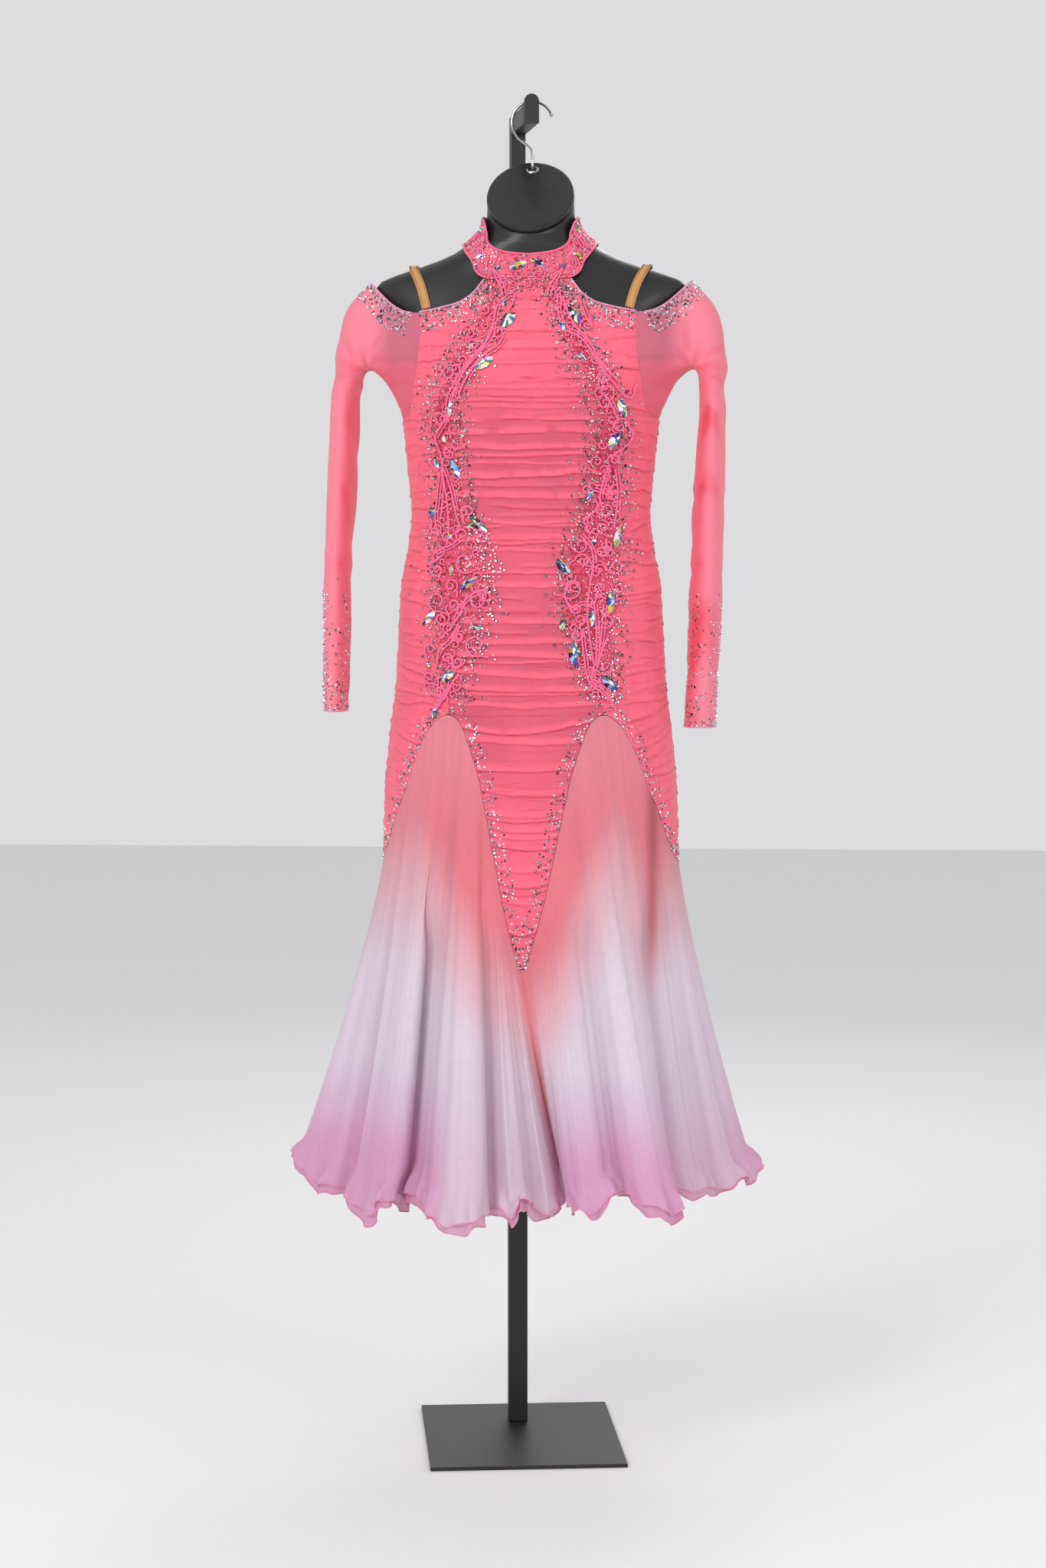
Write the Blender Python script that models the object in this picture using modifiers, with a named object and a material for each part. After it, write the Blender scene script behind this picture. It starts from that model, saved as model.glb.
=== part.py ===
"""A sleeved ballroom dance dress on a limbless hanging form and its telescopic stand.

Metres, +Z up. The dress faces -Y and the origin is on the floor under its middle. Left and right
are as seen from the front. A bearing is an angle round the dress in degrees, 0 at the front and
90 at the right side, and every panel is a region of bearings and heights on one body surface.
"""
import math

import bmesh
import bpy
import numpy as np
from mathutils import Matrix, Vector

for old in list(bpy.data.objects):
    bpy.data.objects.remove(old, do_unlink=True)

# ---------------------------------------------------------------- driving dimensions
SEAM_GAP = 0.0006
CLOTH_WALL = 0.0014
GODET_WALL = 0.0012
UNDER_WALL = 0.0010
COLLAR_WALL = 0.0018
APPLIQUE_WALL = 0.0012
APPLIQUE_LIFT = 0.0014
RUCHE_DEPTH = 0.0016
UNDER_INSET = 0.0028
UNDER_REACH = 1.024
FORM_INSET = 0.0042
FORM_HIP_INSET = 0.0090
FORM_BOTTOM = 0.786
FORM_SIDES = 36
NECK_TILT = 41.0
NECK_CENTRE_Z = 1.6245
CAP_THICKNESS = 0.0085
HOOK_Y = 0.030
HOOK_WIRE_RADIUS = 0.0019
HOOK_LOOP_RADIUS = 0.0265
HOOK_LOOP_Z = 1.7276
HOOK_SHANK = 0.008
TOUCH = 0.0003

STAND_YAW = math.radians(8.0)
MAST_YAW = math.radians(13.0)
POST_CENTRE = (-0.0261, 0.1243)
POST_SIDE = 0.0254
POST_WALL = 0.0015
POST_TOP = 0.950
MAST_SIDE = 0.0190
MAST_WALL = 0.0012
MAST_BOTTOM = 0.600
ARM_TOP = 1.7474
ARM_HEIGHT = 0.0236
ARM_FRONT_Y = 0.012
PLATE_WIDTH = 0.254
PLATE_DEPTH = 0.305
PLATE_THICKNESS = 0.005
PLATE_AHEAD_OF_POST = 0.0717
STOP_THICKNESS = 0.004
STOP_TOP = 1.7610
ZIP_HALF_WIDTH = 0.0035
ZIP_ROWS = (1, 19)
SLIDER_Z = 1.4900

# The body under the dress: height, half width, and depth to the front and to the back.
BODY = (
    (0.600, 0.2040, 0.1680, 0.0900),
    (0.700, 0.2000, 0.1520, 0.0915),
    (0.790, 0.1912, 0.1320, 0.0930),
    (0.860, 0.1895, 0.1240, 0.0930),
    (0.940, 0.1830, 0.1190, 0.0920),
    (1.000, 0.1752, 0.1160, 0.0900),
    (1.060, 0.1717, 0.1090, 0.0850),
    (1.137, 0.1669, 0.0990, 0.0760),
    (1.177, 0.1589, 0.0930, 0.0710),
    (1.226, 0.1540, 0.0890, 0.0680),
    (1.295, 0.1600, 0.0990, 0.0720),
    (1.345, 0.1650, 0.1130, 0.0790),
    (1.385, 0.1690, 0.1190, 0.0840),
    (1.420, 0.1720, 0.1130, 0.0880),
    (1.455, 0.1780, 0.0980, 0.0880),
    (1.480, 0.1875, 0.0850, 0.0820),
    (1.495, 0.1990, 0.0760, 0.0760),
    (1.510, 0.2035, 0.0680, 0.0700),
    (1.522, 0.1990, 0.0620, 0.0660),
    (1.530, 0.1850, 0.0590, 0.0640),
    (1.540, 0.1550, 0.0570, 0.0620),
    (1.548, 0.1300, 0.0575, 0.0605),
    (1.557, 0.1070, 0.0585, 0.0600),
    (1.567, 0.0880, 0.0592, 0.0600),
    (1.580, 0.0700, 0.0596, 0.0600),
    (1.595, 0.0615, 0.0600, 0.0600),
    (1.612, 0.0600, 0.0600, 0.0600),
)

# Rows of the bodice: height, bearing of the princess seam, and bearing of the side panel's outer
# edge, which follows the neckline cutout, then the sleeve seam, then the side seam.
BODICE = (
    (1.5190, 11.0, 15.8),
    (1.5040, 11.2, 19.0),
    (1.4900, 12.2, 25.5),
    (1.4820, 13.5, 37.5),
    (1.4785, 14.0, 47.2),
    (1.4550, 18.2, 50.6),
    (1.4275, 24.6, 53.4),
    (1.3970, 31.0, 57.0),
    (1.3655, 36.4, 62.4),
    (1.3500, 39.0, 66.7),
    (1.3470, 39.2, 78.0),
    (1.3440, 39.3, 90.0),
    (1.3060, 39.4, 90.0),
    (1.2650, 38.8, 90.0),
    (1.2260, 36.9, 90.0),
    (1.1880, 33.6, 90.0),
    (1.1480, 29.4, 90.0),
    (1.1080, 28.8, 90.0),
    (1.0680, 29.5, 90.0),
    (1.0300, 31.4, 90.0),
    (0.9980, 33.0, 90.0),
)
FIRST_SLEEVE_ROW = 4
LAST_SLEEVE_ROW = 11
FLAT_ROWS = (9, 10, 11)

# The arch that tops each godet, from the side point over the peak to the V point.
ARCH = (
    (88.6, 0.776),
    (74.0, 0.792),
    (64.0, 0.834),
    (55.5, 0.874),
    (50.0, 0.912),
    (44.0, 0.946),
    (38.5, 0.964),
    (33.0, 0.970),
    (27.5, 0.961),
    (23.2, 0.936),
    (18.6, 0.897),
    (15.2, 0.852),
    (11.6, 0.796),
    (8.0, 0.741),
    (4.4, 0.694),
    (0.8, 0.650),
)
ARCH_PEAK = 7

# Folds of the hem, from the side seam to the middle seam: share of the arch, bearing, radius, height.
HEM = {
    "godet_front_left": (
        (0.00, -100.0, 0.298, 0.368),
        (0.07, -89.0, 0.292, 0.350),
        (0.14, -80.0, 0.262, 0.345),
        (0.21, -77.0, 0.232, 0.349),
        (0.29, -64.0, 0.238, 0.345),
        (0.37, -49.0, 0.226, 0.345),
        (0.44, -54.0, 0.186, 0.350),
        (0.51, -37.0, 0.200, 0.349),
        (0.58, -23.0, 0.240, 0.345),
        (0.66, -12.5, 0.240, 0.345),
        (0.73, -11.5, 0.186, 0.350),
        (0.80, -2.5, 0.216, 0.345),
        (0.87, 4.5, 0.166, 0.350),
        (0.93, 12.5, 0.166, 0.346),
        (1.00, 30.0, 0.098, 0.356),
    ),
    "godet_front_right": (
        (0.00, 108.0, 0.298, 0.358),
        (0.08, 95.0, 0.276, 0.346),
        (0.16, 85.0, 0.240, 0.346),
        (0.24, 75.0, 0.224, 0.350),
        (0.32, 68.0, 0.192, 0.352),
        (0.41, 60.0, 0.226, 0.346),
        (0.50, 52.0, 0.240, 0.345),
        (0.60, 43.0, 0.222, 0.345),
        (0.68, 43.0, 0.182, 0.351),
        (0.77, 33.0, 0.196, 0.345),
        (0.86, 24.0, 0.182, 0.345),
        (0.93, 22.0, 0.150, 0.348),
        (1.00, 31.5, 0.102, 0.356),
    ),
    "godet_back_left": (
        (0.00, -100.0, 0.298, 0.368),
        (0.10, -110.0, 0.272, 0.352),
        (0.20, -116.0, 0.226, 0.347),
        (0.30, -122.0, 0.188, 0.350),
        (0.40, -132.0, 0.222, 0.346),
        (0.50, -142.0, 0.236, 0.345),
        (0.60, -148.0, 0.196, 0.349),
        (0.70, -153.5, 0.208, 0.346),
        (0.80, -153.0, 0.160, 0.348),
        (0.88, -152.0, 0.122, 0.350),
        (0.94, -160.0, 0.092, 0.354),
        (1.00, -169.0, 0.084, 0.356),
    ),
    "godet_back_right": (
        (0.00, 108.0, 0.298, 0.358),
        (0.10, 118.0, 0.268, 0.347),
        (0.20, 126.0, 0.218, 0.347),
        (0.30, 132.0, 0.196, 0.351),
        (0.40, 142.0, 0.240, 0.346),
        (0.50, 152.0, 0.238, 0.345),
        (0.60, 158.0, 0.184, 0.350),
        (0.70, 166.0, 0.212, 0.345),
        (0.79, 174.0, 0.180, 0.348),
        (0.86, 174.0, 0.138, 0.350),
        (0.93, 179.0, 0.098, 0.354),
        (1.00, 189.5, 0.085, 0.356),
    ),
}
GODET_ROWS = (0.0, 0.16, 0.36, 0.58, 0.80, 1.0)
GODET_FLARE = 1.2
GODET_EDGE = 0.0008
UNDER_EDGE = 0.0034

# Halter collar, from the front middle to the back middle: bearing and height of its lower edge,
# and bearing and height of its upper edge.
COLLAR = (
    (0.0, 1.5200, 0.0, 1.5520),
    (8.0, 1.5200, 17.0, 1.5560),
    (15.6, 1.5202, 33.0, 1.5660),
    (27.0, 1.5400, 50.0, 1.5820),
    (45.0, 1.5540, 67.0, 1.5955),
    (67.0, 1.5640, 83.0, 1.6030),
    (90.0, 1.5680, 96.0, 1.6050),
    (113.0, 1.5650, 109.0, 1.6045),
    (135.0, 1.5560, 123.0, 1.6030),
    (153.0, 1.5400, 140.0, 1.6010),
    (164.4, 1.5202, 155.0, 1.6000),
    (172.0, 1.5200, 168.0, 1.5990),
    (179.5, 1.5200, 179.5, 1.5985),
)
COLLAR_SHARES = (0.0, 0.34, 0.67, 1.0)

# Top edge of the sleeve and the line at the underarm, from the sleeve seam to the outside.
SLEEVE_TOP = (
    # x, height, depth
    (0.1480, 1.4780, 0.0570),
    (0.1610, 1.4815, 0.0500),
    (0.1750, 1.4900, 0.0400),
    (0.1870, 1.5010, 0.0290),
    (0.1970, 1.5110, 0.0190),
    (0.2030, 1.5180, 0.0090),
    (0.2070, 1.5225, 0.0000),
)
UNDERARM_LINE = (
    (0.1530, 1.4250, 0.0680),
    (0.1720, 1.4220, 0.0580),
    (0.1920, 1.4190, 0.0450),
    (0.2110, 1.4170, 0.0300),
    (0.2290, 1.4140, 0.0430),
    (0.2480, 1.4120, 0.0310),
    (0.2550, 1.4110, 0.0000),
)
SHOULDER_BULGE = 0.019
BULGE_SHARE = (0.0, 0.05, 0.15, 0.35, 0.70, 0.92, 1.0)
# The mesh web under the arm: share of the sleeve seam, outer x, height and depth of its fold.
WEB = (
    (1, 0.1880, 1.3970, 0.0290),
    (2, 0.1705, 1.3680, 0.0270),
)
# Sleeve tube: height, then centre and half width of the left and of the right one, and half depth.
ARM = (
    (1.3950, 0.2370, 0.0175, 0.2335, 0.0155, 0.0430),
    (1.3530, 0.2400, 0.0195, 0.2330, 0.0160, 0.0450),
    (1.2950, 0.2427, 0.0184, 0.2306, 0.0190, 0.0440),
    (1.1970, 0.2490, 0.0175, 0.2275, 0.0214, 0.0410),
    (1.0980, 0.2515, 0.0165, 0.2255, 0.0212, 0.0380),
    (0.9980, 0.2529, 0.0165, 0.2209, 0.0212, 0.0350),
)
CUFF = {-1: (0.9705, 0.2540, 0.0148, 0.0335), 1: (0.9515, 0.2187, 0.0208, 0.0335)}

# Appliques along the princess seams: height, half width in metres.
APPLIQUE_WIDTHS = (
    (0.970, 0.003),
    (1.010, 0.017),
    (1.060, 0.026),
    (1.108, 0.036),
    (1.150, 0.040),
    (1.190, 0.033),
    (1.230, 0.025),
    (1.300, 0.021),
    (1.360, 0.025),
    (1.420, 0.024),
    (1.460, 0.018),
    (1.515, 0.011),
)

# Elastic strap, from the front edge up to the ridge of the shoulder: height and middle x.
STRAP = (
    (1.4830, 0.1285),
    (1.4970, 0.1320),
    (1.5100, 0.1360),
    (1.5210, 0.1405),
    (1.5300, 0.1450),
    (1.5360, 0.1480),
)
STRAP_RIDGE_X = 0.1500
STRAP_WIDTH = 0.012
STRAP_WALL = 0.0012

COLOURS = {
    # base colour, roughness, metallic
    "ruched_mesh": ((0.90, 0.22, 0.26), 0.60, 0.0),
    "sheer_mesh": ((0.92, 0.25, 0.29), 0.60, 0.0),
    "ombre_organza": ((0.80, 0.60, 0.68), 0.55, 0.0),
    "under_organza": ((0.72, 0.45, 0.58), 0.55, 0.0),
    "beaded_applique": ((0.86, 0.14, 0.32), 0.45, 0.0),
    "nude_elastic": ((0.55, 0.31, 0.13), 0.70, 0.0),
    "zip_tape": ((0.85, 0.25, 0.30), 0.50, 0.0),
    "zip_metal": ((0.80, 0.80, 0.82), 0.25, 1.0),
    "black_form": ((0.012, 0.012, 0.014), 0.35, 0.0),
    "chrome": ((0.80, 0.80, 0.82), 0.12, 1.0),
    "black_powder_coat": ((0.010, 0.010, 0.011), 0.45, 0.0),
}

collection = bpy.data.collections.new("ballroom_dance_dress")
bpy.context.scene.collection.children.link(collection)


def material(name):
    """The named finish, made once."""
    found = bpy.data.materials.get(name)
    if found:
        return found
    colour, roughness, metallic = COLOURS[name]
    made = bpy.data.materials.new(name)
    made.use_nodes = True
    shader = made.node_tree.nodes["Principled BSDF"]
    shader.inputs["Base Color"].default_value = (*colour, 1.0)
    shader.inputs["Roughness"].default_value = roughness
    shader.inputs["Metallic"].default_value = metallic
    return made


def add_object(name, mesh, finish, smooth=True):
    """Puts a mesh in the object's collection under its node's name."""
    if smooth:
        mesh.shade_smooth()
        mesh.set_sharp_from_angle(angle=math.radians(35.0))
    made = bpy.data.objects.new(name, mesh)
    made.data.materials.append(material(finish))
    collection.objects.link(made)
    return made


# ---------------------------------------------------------------- the body surface
def along(rows, at):
    """The other columns of a table at a value of its first one, on a monotone cubic curve."""
    table = np.array(rows, float)
    xs = table[:, 0]
    ys = table[:, 1:]
    at = min(max(at, xs[0]), xs[-1])
    steps = np.diff(xs)
    slopes = np.diff(ys, axis=0) / steps[:, None]
    tangents = np.zeros_like(ys)
    tangents[0] = slopes[0]
    tangents[-1] = slopes[-1]
    same_way = slopes[:-1] * slopes[1:] > 0
    harmonic = 2 * slopes[:-1] * slopes[1:] / np.where(same_way, slopes[:-1] + slopes[1:], 1)
    tangents[1:-1] = np.where(same_way, harmonic, 0)
    k = int(np.clip(np.searchsorted(xs, at) - 1, 0, len(steps) - 1))
    t = (at - xs[k]) / steps[k]
    keep = (1 + 2 * t) * (1 - t) ** 2 * ys[k] + t * t * (3 - 2 * t) * ys[k + 1]
    turn = t * (1 - t) ** 2 * tangents[k] - t * t * (1 - t) * tangents[k + 1]
    return keep + turn * steps[k]


def body(bearing, z, lift=0.0):
    """A point of the body surface at a bearing and a height, moved out along its normal."""
    half, front, back = along(BODY, z)
    step = 0.002
    above = along(BODY, z + step)
    below = along(BODY, z - step)
    half_slope, front_slope, back_slope = (above - below) / (2 * step)
    s = math.sin(math.radians(bearing))
    c = math.cos(math.radians(bearing))
    depth = front if c > 0 else back
    depth_slope = front_slope if c > 0 else back_slope
    normal = Vector((depth * s, -half * c, -half * depth_slope * c * c - depth * half_slope * s * s))
    return Vector((half * s, -depth * c, z)) + normal.normalized() * lift


def shifted(bearing, z, distance):
    """The bearing that lies a distance further round the body."""
    half, front, back = along(BODY, z)
    c = math.cos(math.radians(bearing))
    s = math.sin(math.radians(bearing))
    depth = front if c > 0 else back
    return bearing + math.degrees(distance / math.hypot(half * c, depth * s))


def smooth_row(rows, at):
    """A row of a table at a share, on a Catmull-Rom curve, for folds that double back."""
    table = np.array(rows, float)
    shares = table[:, 0]
    k = int(np.clip(np.searchsorted(shares, at) - 1, 0, len(rows) - 2))
    t = (at - shares[k]) / (shares[k + 1] - shares[k])
    before = table[max(k - 1, 0), 1:]
    start = table[k, 1:]
    end = table[k + 1, 1:]
    after = table[min(k + 2, len(rows) - 1), 1:]
    a = 2 * start
    b = (end - before) * t
    c = (2 * before - 5 * start + 4 * end - after) * t * t
    d = (3 * start - before - 3 * end + after) * t ** 3
    return (a + b + c + d) / 2


# ---------------------------------------------------------------- walls
def solidify(made, thickness):
    """Gives an open surface its wall, inwards."""
    wall = made.modifiers.new("Wall", "SOLIDIFY")
    wall.thickness = thickness
    wall.offset = -1.0
    return made


def cloth_from_points(name, points, faces, thickness, finish):
    """A piece of cloth: an open surface with a wall on its inner side."""
    mesh = bpy.data.meshes.new(name)
    mesh.from_pydata([tuple(p) for p in points], [], faces)
    mesh.validate()
    return solidify(add_object(name, mesh, finish), thickness)


def cloth_from_grids(name, outer, inner, finish, mirrored=False):
    """Cloth from its outer and its inner side, each rows of points from top to bottom.

    A row runs towards larger bearings at the front.
    """
    rows = len(outer)
    columns = len(outer[0])
    points = [p for side in (outer, inner) for row in side for p in row]

    def at(i, j, layer=0):
        return (layer * rows + i) * columns + j

    faces = []
    for i in range(rows - 1):
        for j in range(columns - 1):
            faces.append((at(i, j), at(i + 1, j), at(i + 1, j + 1), at(i, j + 1)))
            faces.append((at(i, j, 1), at(i, j + 1, 1), at(i + 1, j + 1, 1), at(i + 1, j, 1)))
    end_row = rows - 1
    end_column = columns - 1
    for j in range(end_column):
        faces.append((at(0, j), at(0, j + 1), at(0, j + 1, 1), at(0, j, 1)))
        faces.append((at(end_row, j), at(end_row, j, 1), at(end_row, j + 1, 1), at(end_row, j + 1)))
    for i in range(end_row):
        faces.append((at(i, 0), at(i, 0, 1), at(i + 1, 0, 1), at(i + 1, 0)))
        faces.append((at(i, end_column), at(i + 1, end_column), at(i + 1, end_column, 1), at(i, end_column, 1)))
    if mirrored:
        faces = [face[::-1] for face in faces]
    mesh = bpy.data.meshes.new(name)
    mesh.from_pydata([tuple(p) for p in points], [], faces)
    return add_object(name, mesh, finish)


def body_cloth(name, spots, wall, finish, mirrored=False):
    """Cloth that lies on the body, from rows of (bearing, height, lift of its outer side)."""
    outer = [[body(b, z, lift) for b, z, lift in row] for row in spots]
    inner = [[body(b, z, lift - wall) for b, z, lift in row] for row in spots]
    return cloth_from_grids(name, outer, inner, finish, mirrored)


def grid_normals(grid):
    """Outward normals of a grid of points, halfway between the facets on both sides of a fold."""
    spots = np.array([[tuple(p) for p in row] for row in grid])

    def tangents(axis):
        steps = np.diff(spots, axis=axis)
        steps = steps / np.linalg.norm(steps, axis=2, keepdims=True)
        steps = np.moveaxis(steps, axis, 0)
        whole = np.concatenate([steps[:1], steps[:-1] + steps[1:], steps[-1:]])
        return np.moveaxis(whole, 0, axis)

    normals = np.cross(tangents(0), tangents(1))
    return normals / np.linalg.norm(normals, axis=2, keepdims=True)


def spread(low, high, count):
    return [low + (high - low) * k / count for k in range(count + 1)]


# ---------------------------------------------------------------- ruched panels
def ruche(row):
    """Every second row of a panel stands out, as the gathered folds do."""
    return RUCHE_DEPTH if row % 2 and row not in FLAT_ROWS else 0.0


def bodice_rows(edges):
    """Rows of (height, low bearing, high bearing): the bodice, then the part beside the arches.

    edges is centre, side or back_centre. Bearings here run from the front middle outwards.
    """
    rows = []
    for z, princess, outer in BODICE:
        rows.append((z, 0.0, princess) if edges != "side" else (z, princess, outer))
    peak_bearing, peak_z = ARCH[ARCH_PEAK]
    rows.append((peak_z, 0.0, peak_bearing) if edges != "side" else (peak_z, peak_bearing, 90.0))
    if edges == "side":
        below = [(z, bearing, 90.0) for bearing, z in ARCH[ARCH_PEAK - 1::-1]]
    else:
        below = [(z, 0.0, bearing) for bearing, z in ARCH[ARCH_PEAK + 1:]]
    return rows + below


def panel(name, edges, side, back, columns, middle_inset=0.0):
    """One ruched panel. side is -1 left, 1 right or 0 for both halves; back turns it round."""
    grid = []
    for i, (z, low, high) in enumerate(bodice_rows(edges)):
        low_edge = -shifted(high, z, -SEAM_GAP / 2) if side == 0 else shifted(low, z, SEAM_GAP / 2)
        if middle_inset and low == 0.0 and i <= ZIP_ROWS[1]:
            room = min(middle_inset, 0.4 * math.radians(high) * along(BODY, z)[0])
            low_edge = shifted(0.0, z, room)
        high_edge = shifted(high, z, -SEAM_GAP / 2)
        row = []
        for bearing in spread(low_edge, high_edge, columns):
            turned = 180.0 - bearing if back else bearing
            row.append((turned if side >= 0 else -turned, z, ruche(i)))
        grid.append(row)
    mirrored = (side < 0) != back
    return body_cloth(name, grid, CLOTH_WALL, "ruched_mesh", mirrored)


def make_panels():
    panel("front_centre", "centre", 0, False, 6)
    for side, word in ((-1, "left"), (1, "right")):
        panel(f"front_side_{word}", "side", side, False, 4)
        panel(f"back_side_{word}", "side", side, True, 4)
        panel(f"back_centre_{word}", "centre", side, True, 3, ZIP_HALF_WIDTH + SEAM_GAP)


# ---------------------------------------------------------------- zip in the back
def make_zip():
    first, last = ZIP_ROWS
    grid = []
    for i, (z, _, _) in enumerate(BODICE[first:last + 1]):
        edge = shifted(0.0, z, ZIP_HALF_WIDTH - SEAM_GAP / 2)
        grid.append([(180.0 - b, z, ruche(i + first)) for b in (-edge, edge)])
    body_cloth("back_zip", grid, CLOTH_WALL, "zip_tape", mirrored=True)
    normal = body(180.0, SLIDER_Z, 1.0) - body(180.0, SLIDER_Z)
    lean = math.atan2(normal.z, normal.y)
    slider = bmesh.new()
    bmesh.ops.create_cube(slider, size=1.0, matrix=box_matrix((0.0054, 0.0022, 0.0100)))
    place = body(180.0, SLIDER_Z, RUCHE_DEPTH + 2 * TOUCH + 0.0011)
    add_primitive("zip_slider", slider, place, "zip_metal", turn=(lean, 0, 0), bevel=0.0006)
    tab = bmesh.new()
    bmesh.ops.create_cube(tab, size=1.0, matrix=box_matrix((0.0050, 0.0010, 0.0160)))
    place = body(180.0, SLIDER_Z, RUCHE_DEPTH + 2 * TOUCH + 0.0022 + TOUCH + 0.0005)
    add_primitive(
        "zip_pull", tab, place, "zip_metal", turn=(lean, 0, 0), bevel=0.0003, about=(0.0, 0.0, -0.0095))


# ---------------------------------------------------------------- sleeves
def sleeve_seam(side, back):
    """Points of the raglan seam, from the neckline down to the side, on the sleeve's side of it."""
    points = []
    for i in range(FIRST_SLEEVE_ROW, LAST_SLEEVE_ROW + 1):
        z, _, outer = BODICE[i]
        bearing = outer if outer == 90.0 else shifted(outer, z, SEAM_GAP / 2)
        turned = 180.0 - bearing if back else bearing
        rise = SEAM_GAP if z < 1.36 else 0.0
        points.append(body(side * turned, z + rise, ruche(i)))
    return points


def sleeve(side):
    """A raglan sleeve with its upper side panel: a sheet that closes to a tube below the arm."""
    seams = {-1: sleeve_seam(side, False), 1: sleeve_seam(side, True)}
    points = []

    def add(point):
        points.append(Vector(point))
        return len(points) - 1

    def table_point(row, way):
        x, z, depth = row
        return Vector((side * x, way * depth, z))

    last = len(SLEEVE_TOP)
    shares = (0.0, 0.25, 0.5, 0.75, 1.0)
    upper = []
    for v in shares:
        row = []
        for way, order in ((-1, range(0, last + 1)), (1, range(last - 1, -1, -1))):
            seam = seams[way]
            for k in order:
                if k == 0:
                    at = 2 * v
                    whole = min(int(at), 1)
                    row.append(add(seam[whole].lerp(seam[whole + 1], at - whole)))
                    continue
                top = table_point(SLEEVE_TOP[k - 1], way)
                low = table_point(UNDERARM_LINE[k - 1], way)
                spot = top.lerp(low, v)
                bulge = SHOULDER_BULGE * BULGE_SHARE[k - 1] * math.sin(math.pi * v ** 0.6)
                row.append(add(spot + Vector((side * bulge, 0.0, 0.0))))
        upper.append(row)
    faces = []

    def join(first, second, closed=False):
        count = len(first)
        for j in range(count if closed else count - 1):
            n = (j + 1) % count
            quad = (first[j], second[j], second[n], first[n])
            faces.append(quad if side > 0 else quad[::-1])

    for a, b in zip(upper, upper[1:]):
        join(a, b)

    front_arm = 4
    back_arm = 2 * last - 4
    middle = upper[-1]
    x, z, depth = UNDERARM_LINE[front_arm - 1]
    crotch = [add((side * (x - 0.0015), y, z - 0.0005)) for y in (-depth / 2, 0.0, depth / 2)]

    web = [middle[:front_arm + 1] + crotch + middle[back_arm:]]
    for seam_step, x, z, depth in WEB:
        halves = []
        for way in (-1, 1):
            start = seams[way][2 + seam_step]
            corner = Vector((side * x, way * depth, z))
            halves.append([add(start.lerp(corner, k / front_arm)) for k in range(front_arm + 1)])
        fold = [add((side * (x + 0.0012), y, z)) for y in (-depth / 2, 0.0, depth / 2)]
        web.append(halves[0] + fold + halves[1][::-1])
    halves = []
    for way in (-1, 1):
        a, b, c = seams[way][5:8]
        halves.append([a, a.lerp(b, 0.5), b, b.lerp(c, 0.3), b.lerp(c, 0.6)])
    side_point = seams[-1][7]
    ends = [halves[0][-1].lerp(side_point, 0.5), side_point, halves[1][-1].lerp(side_point, 0.5)]
    web.append([add(p) for p in halves[0] + ends + halves[1][::-1]])
    for a, b in zip(web, web[1:]):
        join(a, b)

    tube = [middle[front_arm:back_arm + 1] + crotch[::-1]]
    columns = (1, 2) if side < 0 else (3, 4)
    sections = [(row[0], row[columns[0]], row[columns[1]], row[5]) for row in ARM] + [CUFF[side]]
    ring = len(tube[0])
    for z, centre, half, depth in sections:
        loop = []
        for j in range(ring):
            turn = math.radians(-126.0 + 36.0 * j)
            across = math.cos(turn)
            loop.append(add((side * (centre + half * across), depth * math.sin(turn), z)))
        tube.append(loop)
    for a, b in zip(tube, tube[1:]):
        join(a, b, closed=True)
    word = "left" if side < 0 else "right"
    cloth_from_points(f"sleeve_{word}", points, faces, GODET_WALL, "sheer_mesh")


# ---------------------------------------------------------------- skirt
def pushed_out(point):
    """The point, or the nearest one on the body where the body is in the way."""
    if point.z < FORM_BOTTOM - 0.03:
        return point
    half, front, back = along(BODY, point.z)
    depth = front if point.y < 0 else back
    size = math.hypot(point.x / half, point.y / depth)
    if size < 1:
        point = Vector((point.x / size, point.y / size, point.z))
    return point


def godet_surface(name, rows, gap, edge, sink, wall):
    """Outer and inner side of a godet: from its arch on the body, out to its folded hem."""
    side = -1 if name.endswith("left") else 1
    back = "back" in name
    last = len(ARCH) - 1
    heart_bearing, heart_z = 42.0, 0.72
    grid = []
    tops = []
    for share in rows:
        row = []
        for k, (bearing, z) in enumerate(ARCH):
            reach = Vector((math.radians(heart_bearing - bearing) * 0.17, heart_z - z)).normalized() * gap
            start_bearing = shifted(bearing, z, reach.x)
            turned = 180.0 - start_bearing if back else start_bearing
            top = body(side * turned, z + reach.y)
            hem_bearing, radius, height = smooth_row(HEM[name], k / last)
            angle = math.radians(hem_bearing)
            hem = Vector((radius * math.sin(angle), -radius * math.cos(angle), height))
            out = share ** GODET_FLARE
            point = Vector((
                top.x + (hem.x - top.x) * out,
                top.y + (hem.y - top.y) * out,
                top.z + (hem.z - top.z) * share))
            row.append(pushed_out(point))
            if share == 0.0:
                tops.append(body(side * turned, z + reach.y, 1.0) - top)
        grid.append(row)
    for row in grid[1:]:
        for end, beside, inset in ((0, 1, edge), (-1, -2, GODET_EDGE)):
            away = row[beside] - row[end]
            row[end] = row[end] + away * (inset / away.length)
    if (side < 0) == back:
        grid = [row[::-1] for row in grid]
        tops.reverse()
    normals = grid_normals(grid)
    normals[0] = [tuple(normal) for normal in tops]
    sides = []
    for depth in (sink, sink + wall):
        sides.append([[
            point - Vector(normals[i][j]) * depth
            for j, point in enumerate(row)] for i, row in enumerate(grid)])
    return sides


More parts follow.
